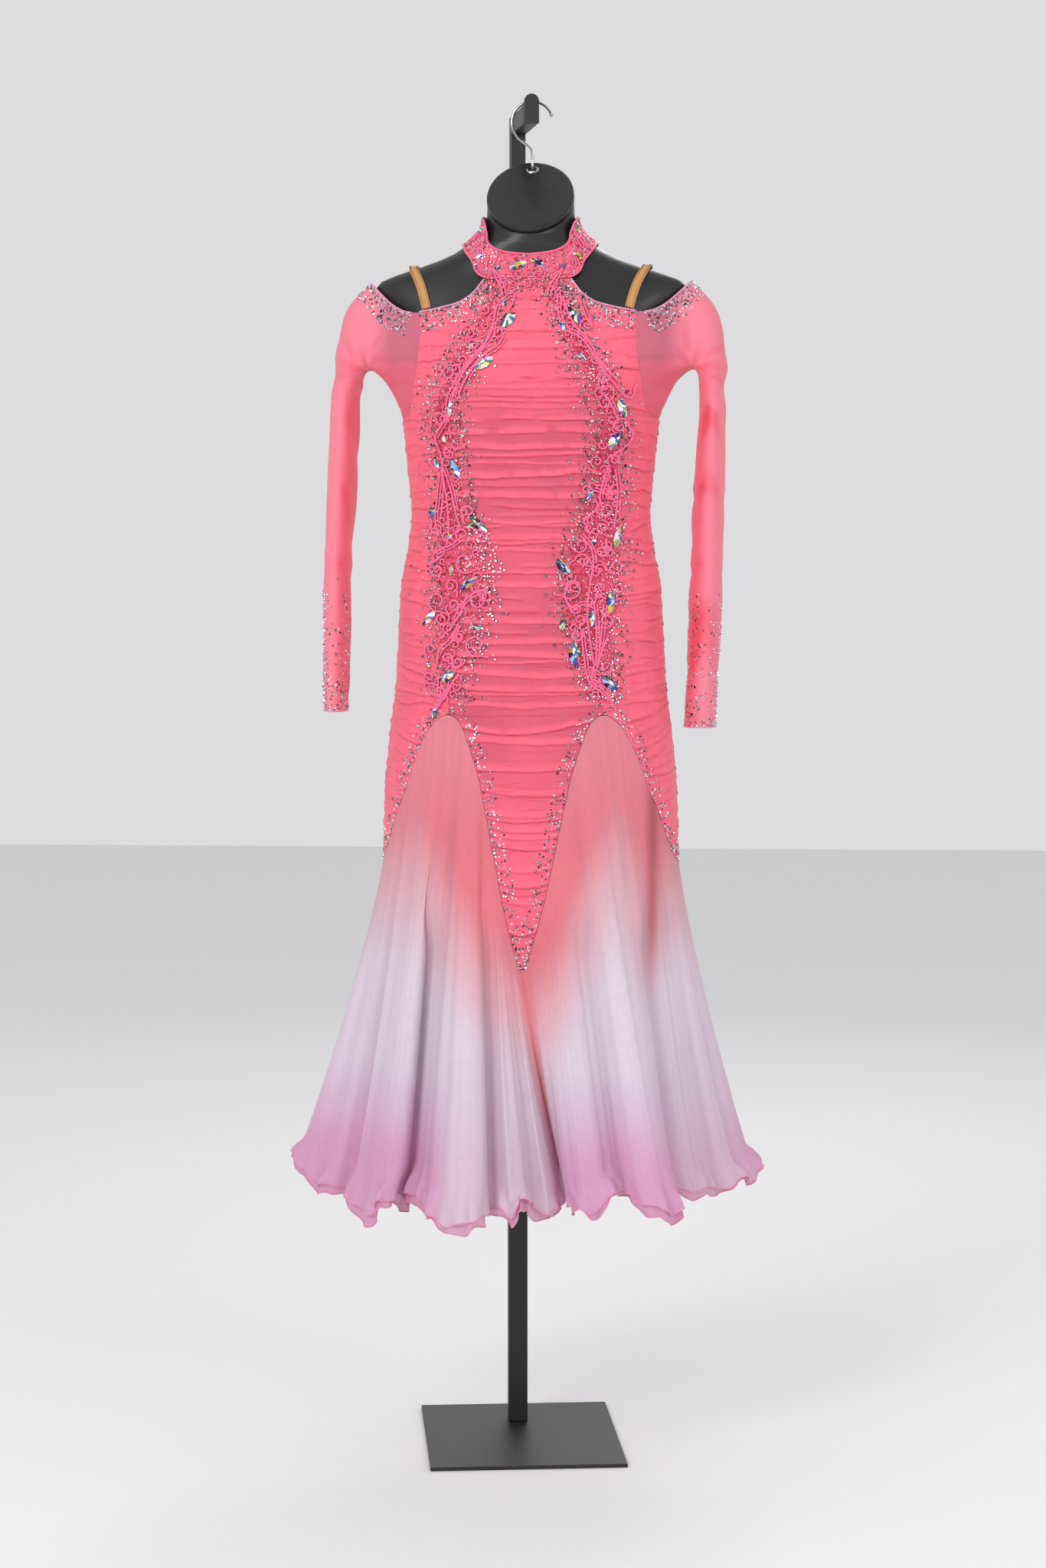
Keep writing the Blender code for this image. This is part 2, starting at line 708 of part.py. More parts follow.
def make_godets():
    for name in HEM:
        outer, inner = godet_surface(name, GODET_ROWS, SEAM_GAP, GODET_EDGE, 0.0, GODET_WALL)
        cloth_from_grids(name, outer, inner, "ombre_organza")
        outer, inner = godet_surface(
            name, (*GODET_ROWS[:-1], UNDER_REACH), 2 * SEAM_GAP, UNDER_EDGE, UNDER_INSET, UNDER_WALL)
        cloth_from_grids(name.replace("godet", "under"), outer, inner, "under_organza")


# ---------------------------------------------------------------- collar, appliques, straps
def make_collar():
    half = []
    for low_bearing, low_z, high_bearing, high_z in COLLAR:
        column = []
        for share in COLLAR_SHARES:
            bearing = high_bearing + (low_bearing - high_bearing) * share
            column.append((bearing, high_z + (low_z - high_z) * share))
        half.append(column)
    columns = [[(-b, z) for b, z in column] for column in half[:0:-1]] + half
    grid = [[(*column[i], SEAM_GAP) for column in columns] for i in range(len(COLLAR_SHARES))]
    body_cloth("collar", grid, COLLAR_WALL, "beaded_applique")


def applique(name, side, back):
    """A beaded applique: a thin wall over a princess seam, made from the panel's rows moved out."""
    rows = bodice_rows("centre")[:len(BODICE)]
    grid = []
    for i, (z, _, princess) in enumerate(rows):
        width = along(APPLIQUE_WIDTHS, z)[0]
        row = []
        for share in (-1.0, -0.36, 0.36, 1.0):
            bearing = shifted(princess, z, share * width)
            turned = 180.0 - bearing if back else bearing
            lift = ruche(i) + APPLIQUE_LIFT + APPLIQUE_WALL
            row.append((side * turned, z - (0.003 if i == 0 else 0.0), lift))
        grid.append(row)
    body_cloth(name, grid, APPLIQUE_WALL, "beaded_applique", (side < 0) != back)


def strap(side):
    """An elastic strap that goes over the shoulder from the front edge to the back edge."""
    ridge = sorted((row[1], row[0]) for row in BODY if row[0] >= 1.510)

    def shoulder_point(x, z, way):
        half, front, back = along(BODY, z)
        depth = front if way < 0 else back
        return Vector((side * x, way * depth * math.sqrt(max(1 - (x / half) ** 2, 0.0)), z))

    def ridge_point(x):
        return Vector((side * x, 0.0, along(ridge, x)[0]))

    edges = (-STRAP_WIDTH / 2, STRAP_WIDTH / 2)
    grid = []
    for z, x in STRAP:
        grid.append([shoulder_point(x + edge, z, -1) for edge in edges])
    grid.append([ridge_point(STRAP_RIDGE_X + edge) for edge in edges])
    for z, x in STRAP[::-1]:
        grid.append([shoulder_point(x + edge, z, 1) for edge in edges])
    inner = [[p - Vector((0.0, p.y / 0.06, 0.6)).normalized() * STRAP_WALL for p in row] for row in grid]
    word = "left" if side < 0 else "right"
    cloth_from_grids(f"strap_{word}", grid, inner, "nude_elastic", mirrored=side > 0)


# ---------------------------------------------------------------- the form
def form_inset(z):
    """The form stands clear of the dress, and further inside it where the godets have two layers."""
    share = min(max((z - 0.975) / 0.06, 0.0), 1.0)
    return FORM_HIP_INSET + (FORM_INSET - FORM_HIP_INSET) * share


def form_ring(half, front, back, centre_z, tilt=0.0):
    ring = []
    for k in range(FORM_SIDES):
        turn = 2 * math.pi * k / FORM_SIDES
        depth = front if math.cos(turn) > 0 else back
        y = -depth * math.cos(turn)
        ring.append((half * math.sin(turn), y, centre_z + y * math.tan(math.radians(tilt))))
    return ring


def make_form():
    rings = [form_ring(0.150, 0.095, 0.062, FORM_BOTTOM)]
    heights = [FORM_BOTTOM + 0.004, FORM_BOTTOM + 0.014, 0.83, 0.88, 0.93, 0.975, 1.02]
    heights += [z for z, *_ in BODY if 1.05 < z < 1.57]
    for z in heights:
        inset = form_inset(z) + (0.010 if z == heights[0] else 0.0)
        rings.append([tuple(body(360.0 * k / FORM_SIDES, z, -inset)) for k in range(FORM_SIDES)])
    rings.append(form_ring(0.0640, 0.0553, 0.0553, 1.578, 6.0))
    rings.append(form_ring(0.0562, 0.0553, 0.0553, 1.5985, 23.5))
    rings.append(form_ring(0.0555, 0.0555, 0.0555, NECK_CENTRE_Z, NECK_TILT))
    points = [p for ring in rings for p in ring]
    faces = [tuple(range(FORM_SIDES))[::-1]]
    for i in range(len(rings) - 1):
        for k in range(FORM_SIDES):
            n = (k + 1) % FORM_SIDES
            a = i * FORM_SIDES
            faces.append((a + k, a + n, a + FORM_SIDES + n, a + FORM_SIDES + k))
    faces.append(tuple(range(len(points) - FORM_SIDES, len(points))))
    mesh = bpy.data.meshes.new("torso_form")
    mesh.from_pydata(points, [], faces)
    add_object("torso_form", mesh, "black_form")


def box_matrix(size):
    return Matrix.Diagonal((*size, 1.0))


def add_primitive(name, shape, place, finish, turn=None, bevel=0.0, segments=2, about=(0, 0, 0)):
    """Finishes a primitive made in bmesh: its place, and its rounded edges."""
    bmesh.ops.translate(shape, verts=shape.verts, vec=Vector(about))
    mesh = bpy.data.meshes.new(name)
    shape.to_mesh(mesh)
    shape.free()
    made = add_object(name, mesh, finish)
    made.location = place
    if turn is not None:
        made.rotation_euler = turn
    if bevel:
        rounding = made.modifiers.new("Rounded edges", "BEVEL")
        rounding.width = bevel
        rounding.segments = segments
        rounding.limit_method = "ANGLE"
    return made


def neck_plane_point(y, height):
    """A point above the slanted top of the neck, height measured square to it."""
    tilt = math.radians(NECK_TILT)
    z = NECK_CENTRE_Z + y * math.tan(tilt)
    return Vector((0.0, y - height * math.sin(tilt), z + height * math.cos(tilt)))


def make_cap_and_hook():
    tilt = math.radians(NECK_TILT)
    cap = bmesh.new()
    bmesh.ops.create_cone(
        cap, cap_ends=True, segments=48, radius1=1.0, radius2=1.0, depth=CAP_THICKNESS,
        matrix=Matrix.Diagonal((0.0562, 0.0562 / math.cos(tilt), 1.0, 1.0)))
    place = neck_plane_point(0.0, TOUCH + CAP_THICKNESS / 2)
    add_primitive("neck_cap", cap, place, "black_form", turn=(tilt, 0, 0), bevel=0.0028)

    profile = [(0.0082, 0.0010), (0.0082, 0.0), (0.0042, 0.0), (0.0042, 0.0022), (0.0068, 0.0022)]
    mesh = bpy.data.meshes.new("hook_grommet")
    mesh.from_pydata([(r, 0.0, z) for r, z in profile], [(i, (i + 1) % 5) for i in range(5)], [])
    grommet = add_object("hook_grommet", mesh, "chrome", smooth=False)
    spin = grommet.modifiers.new("Turned", "SCREW")
    spin.steps = 24
    spin.render_steps = 24
    spin.use_merge_vertices = True
    spin.merge_threshold = 0.00001
    surface = CAP_THICKNESS + 2 * TOUCH
    lean = HOOK_SHANK * math.sin(tilt)
    centre_y = HOOK_Y + lean + surface * math.sin(tilt)
    grommet.location = neck_plane_point(centre_y, surface)
    grommet.rotation_euler = (tilt, 0, 0)

    foot = neck_plane_point(centre_y, surface + 0.0008)
    bend = neck_plane_point(centre_y, surface + HOOK_SHANK * 0.7)
    route = [(0.0, foot.y, foot.z), (0.0, bend.y, bend.z), (0.0, HOOK_Y + 0.0004, bend.z + 0.006)]
    route += [(0.0, HOOK_Y, 1.688), (-0.0030, HOOK_Y, 1.6955), (-0.0105, HOOK_Y, 1.7015)]
    route.append((-0.0185, HOOK_Y, 1.7080))
    for degrees in range(203, 8, -13):
        turn = math.radians(degrees)
        across = HOOK_LOOP_RADIUS * math.cos(turn)
        route.append((across, HOOK_Y, HOOK_LOOP_Z + HOOK_LOOP_RADIUS * math.sin(turn)))
    wire = bpy.data.curves.new("form_hook", "CURVE")
    wire.dimensions = "3D"
    wire.bevel_depth = HOOK_WIRE_RADIUS
    wire.bevel_resolution = 2
    wire.use_fill_caps = True
    spline = wire.splines.new("POLY")
    spline.points.add(len(route) - 1)
    for point, spot in zip(spline.points, route):
        point.co = (*spot, 1.0)
    hook = bpy.data.objects.new("form_hook", wire)
    wire.materials.append(material("chrome"))
    collection.objects.link(hook)


# ---------------------------------------------------------------- the stand
def square_tube(name, side, wall, low, high, yaw):
    shape = bmesh.new()
    bmesh.ops.create_cube(shape, size=1.0, matrix=box_matrix((side, side, high - low)))
    ends = [face for face in shape.faces if abs(face.normal.z) > 0.5]
    bmesh.ops.delete(shape, geom=ends, context="FACES_ONLY")
    place = (*POST_CENTRE, (low + high) / 2)
    tube = add_primitive(name, shape, place, "black_powder_coat", turn=(0, 0, yaw))
    solidify(tube, wall).modifiers["Wall"].use_even_offset = True
    rounding = tube.modifiers.new("Rounded edges", "BEVEL")
    rounding.width = 0.0006
    rounding.limit_method = "ANGLE"
    return tube


def ahead_of_post(distance, yaw):
    return Vector((POST_CENTRE[0] + distance * math.sin(yaw), POST_CENTRE[1] - distance * math.cos(yaw)))


def make_stand():
    plate = bmesh.new()
    bmesh.ops.create_cube(
        plate, size=1.0, matrix=box_matrix((PLATE_WIDTH, PLATE_DEPTH, PLATE_THICKNESS)))
    centre = ahead_of_post(PLATE_AHEAD_OF_POST, STAND_YAW)
    add_primitive(
        "base_plate", plate, (centre.x, centre.y, PLATE_THICKNESS / 2), "black_powder_coat",
        turn=(0, 0, STAND_YAW), bevel=0.0008)
    square_tube("post_outer", POST_SIDE, POST_WALL, PLATE_THICKNESS + TOUCH, POST_TOP, STAND_YAW)
    screw = bmesh.new()
    bmesh.ops.create_cone(screw, cap_ends=True, segments=20, radius1=0.0045, radius2=0.0045, depth=0.005)
    behind = ahead_of_post(-(POST_SIDE / 2 + TOUCH + 0.0025), STAND_YAW)
    add_primitive(
        "lock_screw", screw, (behind.x, behind.y, POST_TOP - 0.025), "chrome",
        turn=(math.pi / 2, 0, STAND_YAW), bevel=0.0005)

    square_tube("post_inner", MAST_SIDE, MAST_WALL, MAST_BOTTOM, ARM_TOP, MAST_YAW)
    reach = (POST_CENTRE[1] - ARM_FRONT_Y) / math.cos(MAST_YAW)
    start = MAST_SIDE / 2 + TOUCH
    end = reach - STOP_THICKNESS - TOUCH
    middle = ahead_of_post((start + end) / 2, MAST_YAW)
    arm = bmesh.new()
    bmesh.ops.create_cube(arm, size=1.0, matrix=box_matrix((MAST_SIDE, end - start, ARM_HEIGHT)))
    add_primitive(
        "arm", arm, (middle.x, middle.y, ARM_TOP - ARM_HEIGHT / 2), "black_powder_coat",
        turn=(0, 0, MAST_YAW), bevel=0.0008)

    half = MAST_SIDE / 2
    bottom = ARM_TOP - ARM_HEIGHT
    points = [(half, 0.0, 0.0)]
    for k in range(13):
        turn = math.pi * k / 12
        points.append((half * math.cos(turn), 0.0, STOP_TOP - half - bottom + half * math.sin(turn)))
    points.append((-half, 0.0, 0.0))
    mesh = bpy.data.meshes.new("arm_stop")
    mesh.from_pydata(points, [], [tuple(range(len(points)))[::-1]])
    stop = solidify(add_object("arm_stop", mesh, "black_powder_coat"), STOP_THICKNESS)
    front = ahead_of_post(reach, MAST_YAW)
    stop.location = (front.x, front.y, bottom)
    stop.rotation_euler = (0, 0, MAST_YAW)


make_stand()
make_form()
make_cap_and_hook()
make_panels()
make_zip()
make_collar()
make_godets()
for dress_side in (-1, 1):
    sleeve(dress_side)
    strap(dress_side)
    side_word = "left" if dress_side < 0 else "right"
    applique(f"applique_front_{side_word}", dress_side, False)
    applique(f"applique_back_{side_word}", dress_side, True)
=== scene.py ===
import math
import random

import bmesh
import bpy
import numpy as np
from mathutils import Matrix, Vector
from mathutils.bvhtree import BVHTree


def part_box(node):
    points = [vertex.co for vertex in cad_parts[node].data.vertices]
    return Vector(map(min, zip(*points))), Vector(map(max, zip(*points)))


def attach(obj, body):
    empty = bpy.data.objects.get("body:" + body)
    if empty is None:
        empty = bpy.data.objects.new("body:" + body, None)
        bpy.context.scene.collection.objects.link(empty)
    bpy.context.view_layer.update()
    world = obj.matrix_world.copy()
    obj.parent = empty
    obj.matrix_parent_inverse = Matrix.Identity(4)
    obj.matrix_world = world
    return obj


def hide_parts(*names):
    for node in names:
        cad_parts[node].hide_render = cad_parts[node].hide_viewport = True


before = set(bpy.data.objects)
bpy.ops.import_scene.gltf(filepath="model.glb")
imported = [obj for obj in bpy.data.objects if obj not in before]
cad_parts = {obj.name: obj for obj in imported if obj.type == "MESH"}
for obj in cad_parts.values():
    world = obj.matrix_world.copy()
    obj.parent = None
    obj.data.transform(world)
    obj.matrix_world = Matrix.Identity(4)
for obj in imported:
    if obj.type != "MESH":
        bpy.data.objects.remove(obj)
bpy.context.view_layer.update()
rng = np.random.default_rng(7)
random.seed(7)


# ---------------------------------------------------------------- tables of the dress
# Height, half width, and depth to the front and to the back.
BODY = (
    (0.600, 0.2040, 0.1680, 0.0900), (0.700, 0.2000, 0.1520, 0.0915), (0.790, 0.1912, 0.1320, 0.0930),
    (0.860, 0.1895, 0.1240, 0.0930), (0.940, 0.1830, 0.1190, 0.0920), (1.000, 0.1752, 0.1160, 0.0900),
    (1.060, 0.1717, 0.1090, 0.0850), (1.137, 0.1669, 0.0990, 0.0760), (1.177, 0.1589, 0.0930, 0.0710),
    (1.226, 0.1540, 0.0890, 0.0680), (1.295, 0.1600, 0.0990, 0.0720), (1.345, 0.1650, 0.1130, 0.0790),
    (1.385, 0.1690, 0.1190, 0.0840), (1.420, 0.1720, 0.1130, 0.0880), (1.455, 0.1780, 0.0980, 0.0880),
    (1.480, 0.1875, 0.0850, 0.0820), (1.495, 0.1990, 0.0760, 0.0760), (1.510, 0.2035, 0.0680, 0.0700),
    (1.522, 0.1990, 0.0620, 0.0660), (1.530, 0.1850, 0.0590, 0.0640), (1.540, 0.1550, 0.0570, 0.0620),
    (1.548, 0.1300, 0.0575, 0.0605), (1.557, 0.1070, 0.0585, 0.0600), (1.567, 0.0880, 0.0592, 0.0600),
    (1.580, 0.0700, 0.0596, 0.0600), (1.595, 0.0615, 0.0600, 0.0600), (1.612, 0.0600, 0.0600, 0.0600),
)
# Height, bearing of the princess seam, bearing of the side panel's outer edge.
BODICE = (
    (1.5190, 11.0, 15.8), (1.5040, 11.2, 19.0), (1.4900, 12.2, 25.5), (1.4820, 13.5, 37.5),
    (1.4785, 14.0, 47.2), (1.4550, 18.2, 50.6), (1.4275, 24.6, 53.4), (1.3970, 31.0, 57.0),
    (1.3655, 36.4, 62.4), (1.3500, 39.0, 66.7), (1.3470, 39.2, 78.0), (1.3440, 39.3, 90.0),
    (1.3060, 39.4, 90.0), (1.2650, 38.8, 90.0), (1.2260, 36.9, 90.0), (1.1880, 33.6, 90.0),
    (1.1480, 29.4, 90.0), (1.1080, 28.8, 90.0), (1.0680, 29.5, 90.0), (1.0300, 31.4, 90.0),
    (0.9980, 33.0, 90.0), (0.9700, 33.0, 90.0),
)
ARCH = (
    (88.6, 0.776), (74.0, 0.792), (64.0, 0.834), (55.5, 0.874), (50.0, 0.912), (44.0, 0.946),
    (38.5, 0.964), (33.0, 0.970), (27.5, 0.961), (23.2, 0.936), (18.6, 0.897), (15.2, 0.852),
    (11.6, 0.796), (8.0, 0.741), (4.4, 0.694), (0.8, 0.650),
)
# Share of the arch, bearing, radius and height of the hem's folds.
HEM = {
    "godet_front_left": (
        (0.00, -100.0, 0.300, 0.372), (0.035, -95.0, 0.311, 0.376), (0.07, -89.5, 0.304, 0.372),
        (0.10, -84.0, 0.280, 0.353), (0.14, -79.0, 0.258, 0.345), (0.175, -77.5, 0.236, 0.352),
        (0.21, -72.0, 0.230, 0.350), (0.25, -68.5, 0.242, 0.345), (0.29, -64.0, 0.238, 0.340),
        (0.33, -57.5, 0.238, 0.336), (0.37, -49.0, 0.226, 0.342), (0.405, -48.0, 0.204, 0.348),
        (0.44, -54.0, 0.186, 0.350), (0.475, -45.0, 0.188, 0.350), (0.51, -37.0, 0.200, 0.349),
        (0.545, -31.0, 0.224, 0.346), (0.58, -23.5, 0.240, 0.343), (0.62, -18.0, 0.243, 0.342),
        (0.66, -12.5, 0.240, 0.344), (0.695, -9.5, 0.212, 0.348), (0.73, -11.5, 0.188, 0.352),
        (0.765, -6.0, 0.198, 0.349), (0.80, -2.5, 0.216, 0.345), (0.835, 2.2, 0.196, 0.354),
        (0.87, 4.5, 0.168, 0.352), (0.90, 9.0, 0.160, 0.349), (0.93, 12.5, 0.166, 0.346),
        (0.965, 20.0, 0.136, 0.352), (1.00, 30.8, 0.100, 0.356),
    ),
    "godet_front_right": (
        (0.00, 108.0, 0.302, 0.362), (0.04, 100.5, 0.298, 0.354), (0.08, 95.0, 0.276, 0.346),
        (0.12, 90.5, 0.262, 0.350), (0.16, 85.0, 0.240, 0.346), (0.20, 79.0, 0.226, 0.352),
        (0.24, 75.0, 0.224, 0.350), (0.28, 70.0, 0.206, 0.354), (0.32, 66.5, 0.194, 0.352),
        (0.365, 63.5, 0.208, 0.350), (0.41, 60.0, 0.226, 0.346), (0.455, 56.5, 0.236, 0.342),
        (0.50, 52.0, 0.240, 0.345), (0.55, 47.0, 0.236, 0.346), (0.60, 43.0, 0.222, 0.352),
        (0.64, 41.5, 0.200, 0.357), (0.68, 42.0, 0.184, 0.360), (0.725, 36.5, 0.187, 0.358),
        (0.77, 32.0, 0.196, 0.352), (0.815, 27.0, 0.192, 0.346), (0.86, 24.0, 0.182, 0.345),
        (0.895, 21.5, 0.166, 0.347), (0.93, 21.5, 0.150, 0.348), (0.965, 25.0, 0.128, 0.352),
        (1.00, 30.8, 0.100, 0.356),
    ),
    "godet_back_left": (
        (0.00, -100.0, 0.300, 0.372), (0.05, -105.5, 0.290, 0.360), (0.10, -110.0, 0.272, 0.352),
        (0.15, -113.5, 0.247, 0.350), (0.20, -116.0, 0.226, 0.347), (0.25, -117.5, 0.200, 0.350),
        (0.30, -122.0, 0.188, 0.350), (0.35, -127.5, 0.200, 0.348), (0.40, -132.0, 0.222, 0.346),
        (0.45, -136.5, 0.236, 0.344), (0.50, -142.0, 0.236, 0.345), (0.55, -145.5, 0.216, 0.348),
        (0.60, -147.5, 0.196, 0.349), (0.65, -150.5, 0.197, 0.347), (0.70, -153.5, 0.208, 0.346),
        (0.75, -154.5, 0.188, 0.347), (0.80, -153.0, 0.160, 0.348), (0.84, -151.5, 0.140, 0.349),
        (0.88, -152.0, 0.122, 0.350), (0.94, -160.0, 0.092, 0.354), (1.00, -169.8, 0.0845, 0.356),
    ),
    "godet_back_right": (
        (0.00, 108.0, 0.302, 0.362), (0.05, 113.5, 0.290, 0.352), (0.10, 118.0, 0.268, 0.347),
        (0.15, 122.5, 0.242, 0.347), (0.20, 126.0, 0.218, 0.347), (0.25, 128.0, 0.202, 0.350),
        (0.30, 132.0, 0.198, 0.351), (0.35, 137.5, 0.220, 0.348), (0.40, 142.0, 0.240, 0.346),
        (0.45, 147.0, 0.245, 0.344), (0.50, 152.0, 0.238, 0.345), (0.55, 155.5, 0.208, 0.348),
        (0.60, 158.5, 0.186, 0.350), (0.65, 162.0, 0.198, 0.347), (0.70, 166.0, 0.212, 0.345),
        (0.745, 171.5, 0.204, 0.346), (0.79, 174.0, 0.180, 0.348), (0.825, 174.0, 0.158, 0.349),
        (0.86, 174.0, 0.138, 0.350), (0.93, 179.0, 0.098, 0.354), (1.00, 190.2, 0.0845, 0.356),
    ),
}
# Curls of the rolled hem: bearing, width along the hem in degrees, lift out and up.
CURLS = {
    "godet_front_left": (
        (-93.0, 5.0, 0.005, 0.012), (-80.0, 3.2, 0.007, 0.010), (-68.0, 3.4, 0.008, 0.008),
        (-49.0, 3.6, 0.012, 0.016), (-42.0, 3.0, 0.006, 0.012), (-31.0, 3.2, 0.006, 0.008),
        (-13.0, 3.2, 0.009, 0.010), (-6.5, 2.6, 0.006, 0.010), (1.0, 3.4, 0.010, 0.022),
    ),
    "godet_front_right": (
        (23.0, 3.0, 0.006, 0.008), (36.0, 7.5, 0.010, 0.020), (46.5, 3.0, 0.007, 0.004),
        (55.0, 3.0, 0.006, 0.006), (68.0, 4.5, 0.008, 0.012), (80.0, 4.0, 0.008, 0.012),
        (92.0, 4.0, 0.009, 0.012), (101.0, 4.0, 0.008, 0.012), (107.0, 3.0, 0.007, 0.012),
    ),
    "godet_back_left": (
        (-107.0, 4.0, 0.008, 0.010), (-119.0, 4.0, 0.007, 0.010), (-135.0, 4.5, 0.008, 0.012),
        (-147.0, 3.4, 0.006, 0.008), (-156.0, 3.4, 0.006, 0.008),
    ),
    "godet_back_right": (
        (115.0, 4.0, 0.008, 0.010), (127.0, 4.0, 0.007, 0.010), (144.0, 4.5, 0.008, 0.012),
        (157.0, 3.4, 0.006, 0.008), (168.0, 3.4, 0.006, 0.008),
    ),
}
COLLAR = (
    (0.0, 1.5200, 0.0, 1.5520), (8.0, 1.5200, 17.0, 1.5560), (15.6, 1.5202, 33.0, 1.5660),
    (27.0, 1.5400, 50.0, 1.5820), (45.0, 1.5540, 67.0, 1.5955), (67.0, 1.5640, 83.0, 1.6030),
    (90.0, 1.5680, 96.0, 1.6050), (113.0, 1.5650, 109.0, 1.6045), (135.0, 1.5560, 123.0, 1.6030),
    (153.0, 1.5400, 140.0, 1.6010), (164.4, 1.5202, 155.0, 1.6000), (172.0, 1.5200, 168.0, 1.5990),
    (179.5, 1.5200, 179.5, 1.5985),
)
# Top edge and underarm line of the sleeve, and its tube, as in the solids.
SLEEVE_TOP = (
    (0.1480, 1.4780, 0.0570), (0.1610, 1.4815, 0.0500), (0.1750, 1.4900, 0.0400),
    (0.1870, 1.5010, 0.0290), (0.1970, 1.5110, 0.0190), (0.2030, 1.5180, 0.0090),
    (0.2070, 1.5225, 0.0000),
)
UNDERARM_LINE = (
    (0.1530, 1.4250, 0.0680), (0.1720, 1.4220, 0.0580), (0.1920, 1.4190, 0.0450),
    (0.2110, 1.4170, 0.0300), (0.2290, 1.4140, 0.0430), (0.2480, 1.4120, 0.0310),
    (0.2550, 1.4110, 0.0000),
)
BULGE_SHARE = (0.0, 0.05, 0.15, 0.35, 0.70, 0.92, 1.0)
WEB = ((1, 0.1880, 1.3970, 0.0290), (2, 0.1705, 1.3680, 0.0270))
ARM = (
    (1.3950, 0.2370, 0.0175, 0.2335, 0.0155, 0.0430), (1.3530, 0.2400, 0.0195, 0.2330, 0.0160, 0.0450),
    (1.2950, 0.2427, 0.0184, 0.2306, 0.0190, 0.0440), (1.1970, 0.2490, 0.0175, 0.2275, 0.0214, 0.0410),
    (1.0980, 0.2515, 0.0165, 0.2255, 0.0212, 0.0380), (0.9980, 0.2529, 0.0165, 0.2209, 0.0212, 0.0350),
)
CUFF = {-1: (0.9705, 0.2540, 0.0148, 0.0335), 1: (0.9515, 0.2187, 0.0208, 0.0335)}
STRAP = ((1.4830, 0.1285), (1.4970, 0.1320), (1.5100, 0.1360), (1.5210, 0.1405), (1.5300, 0.1450), (1.5360, 0.1480))

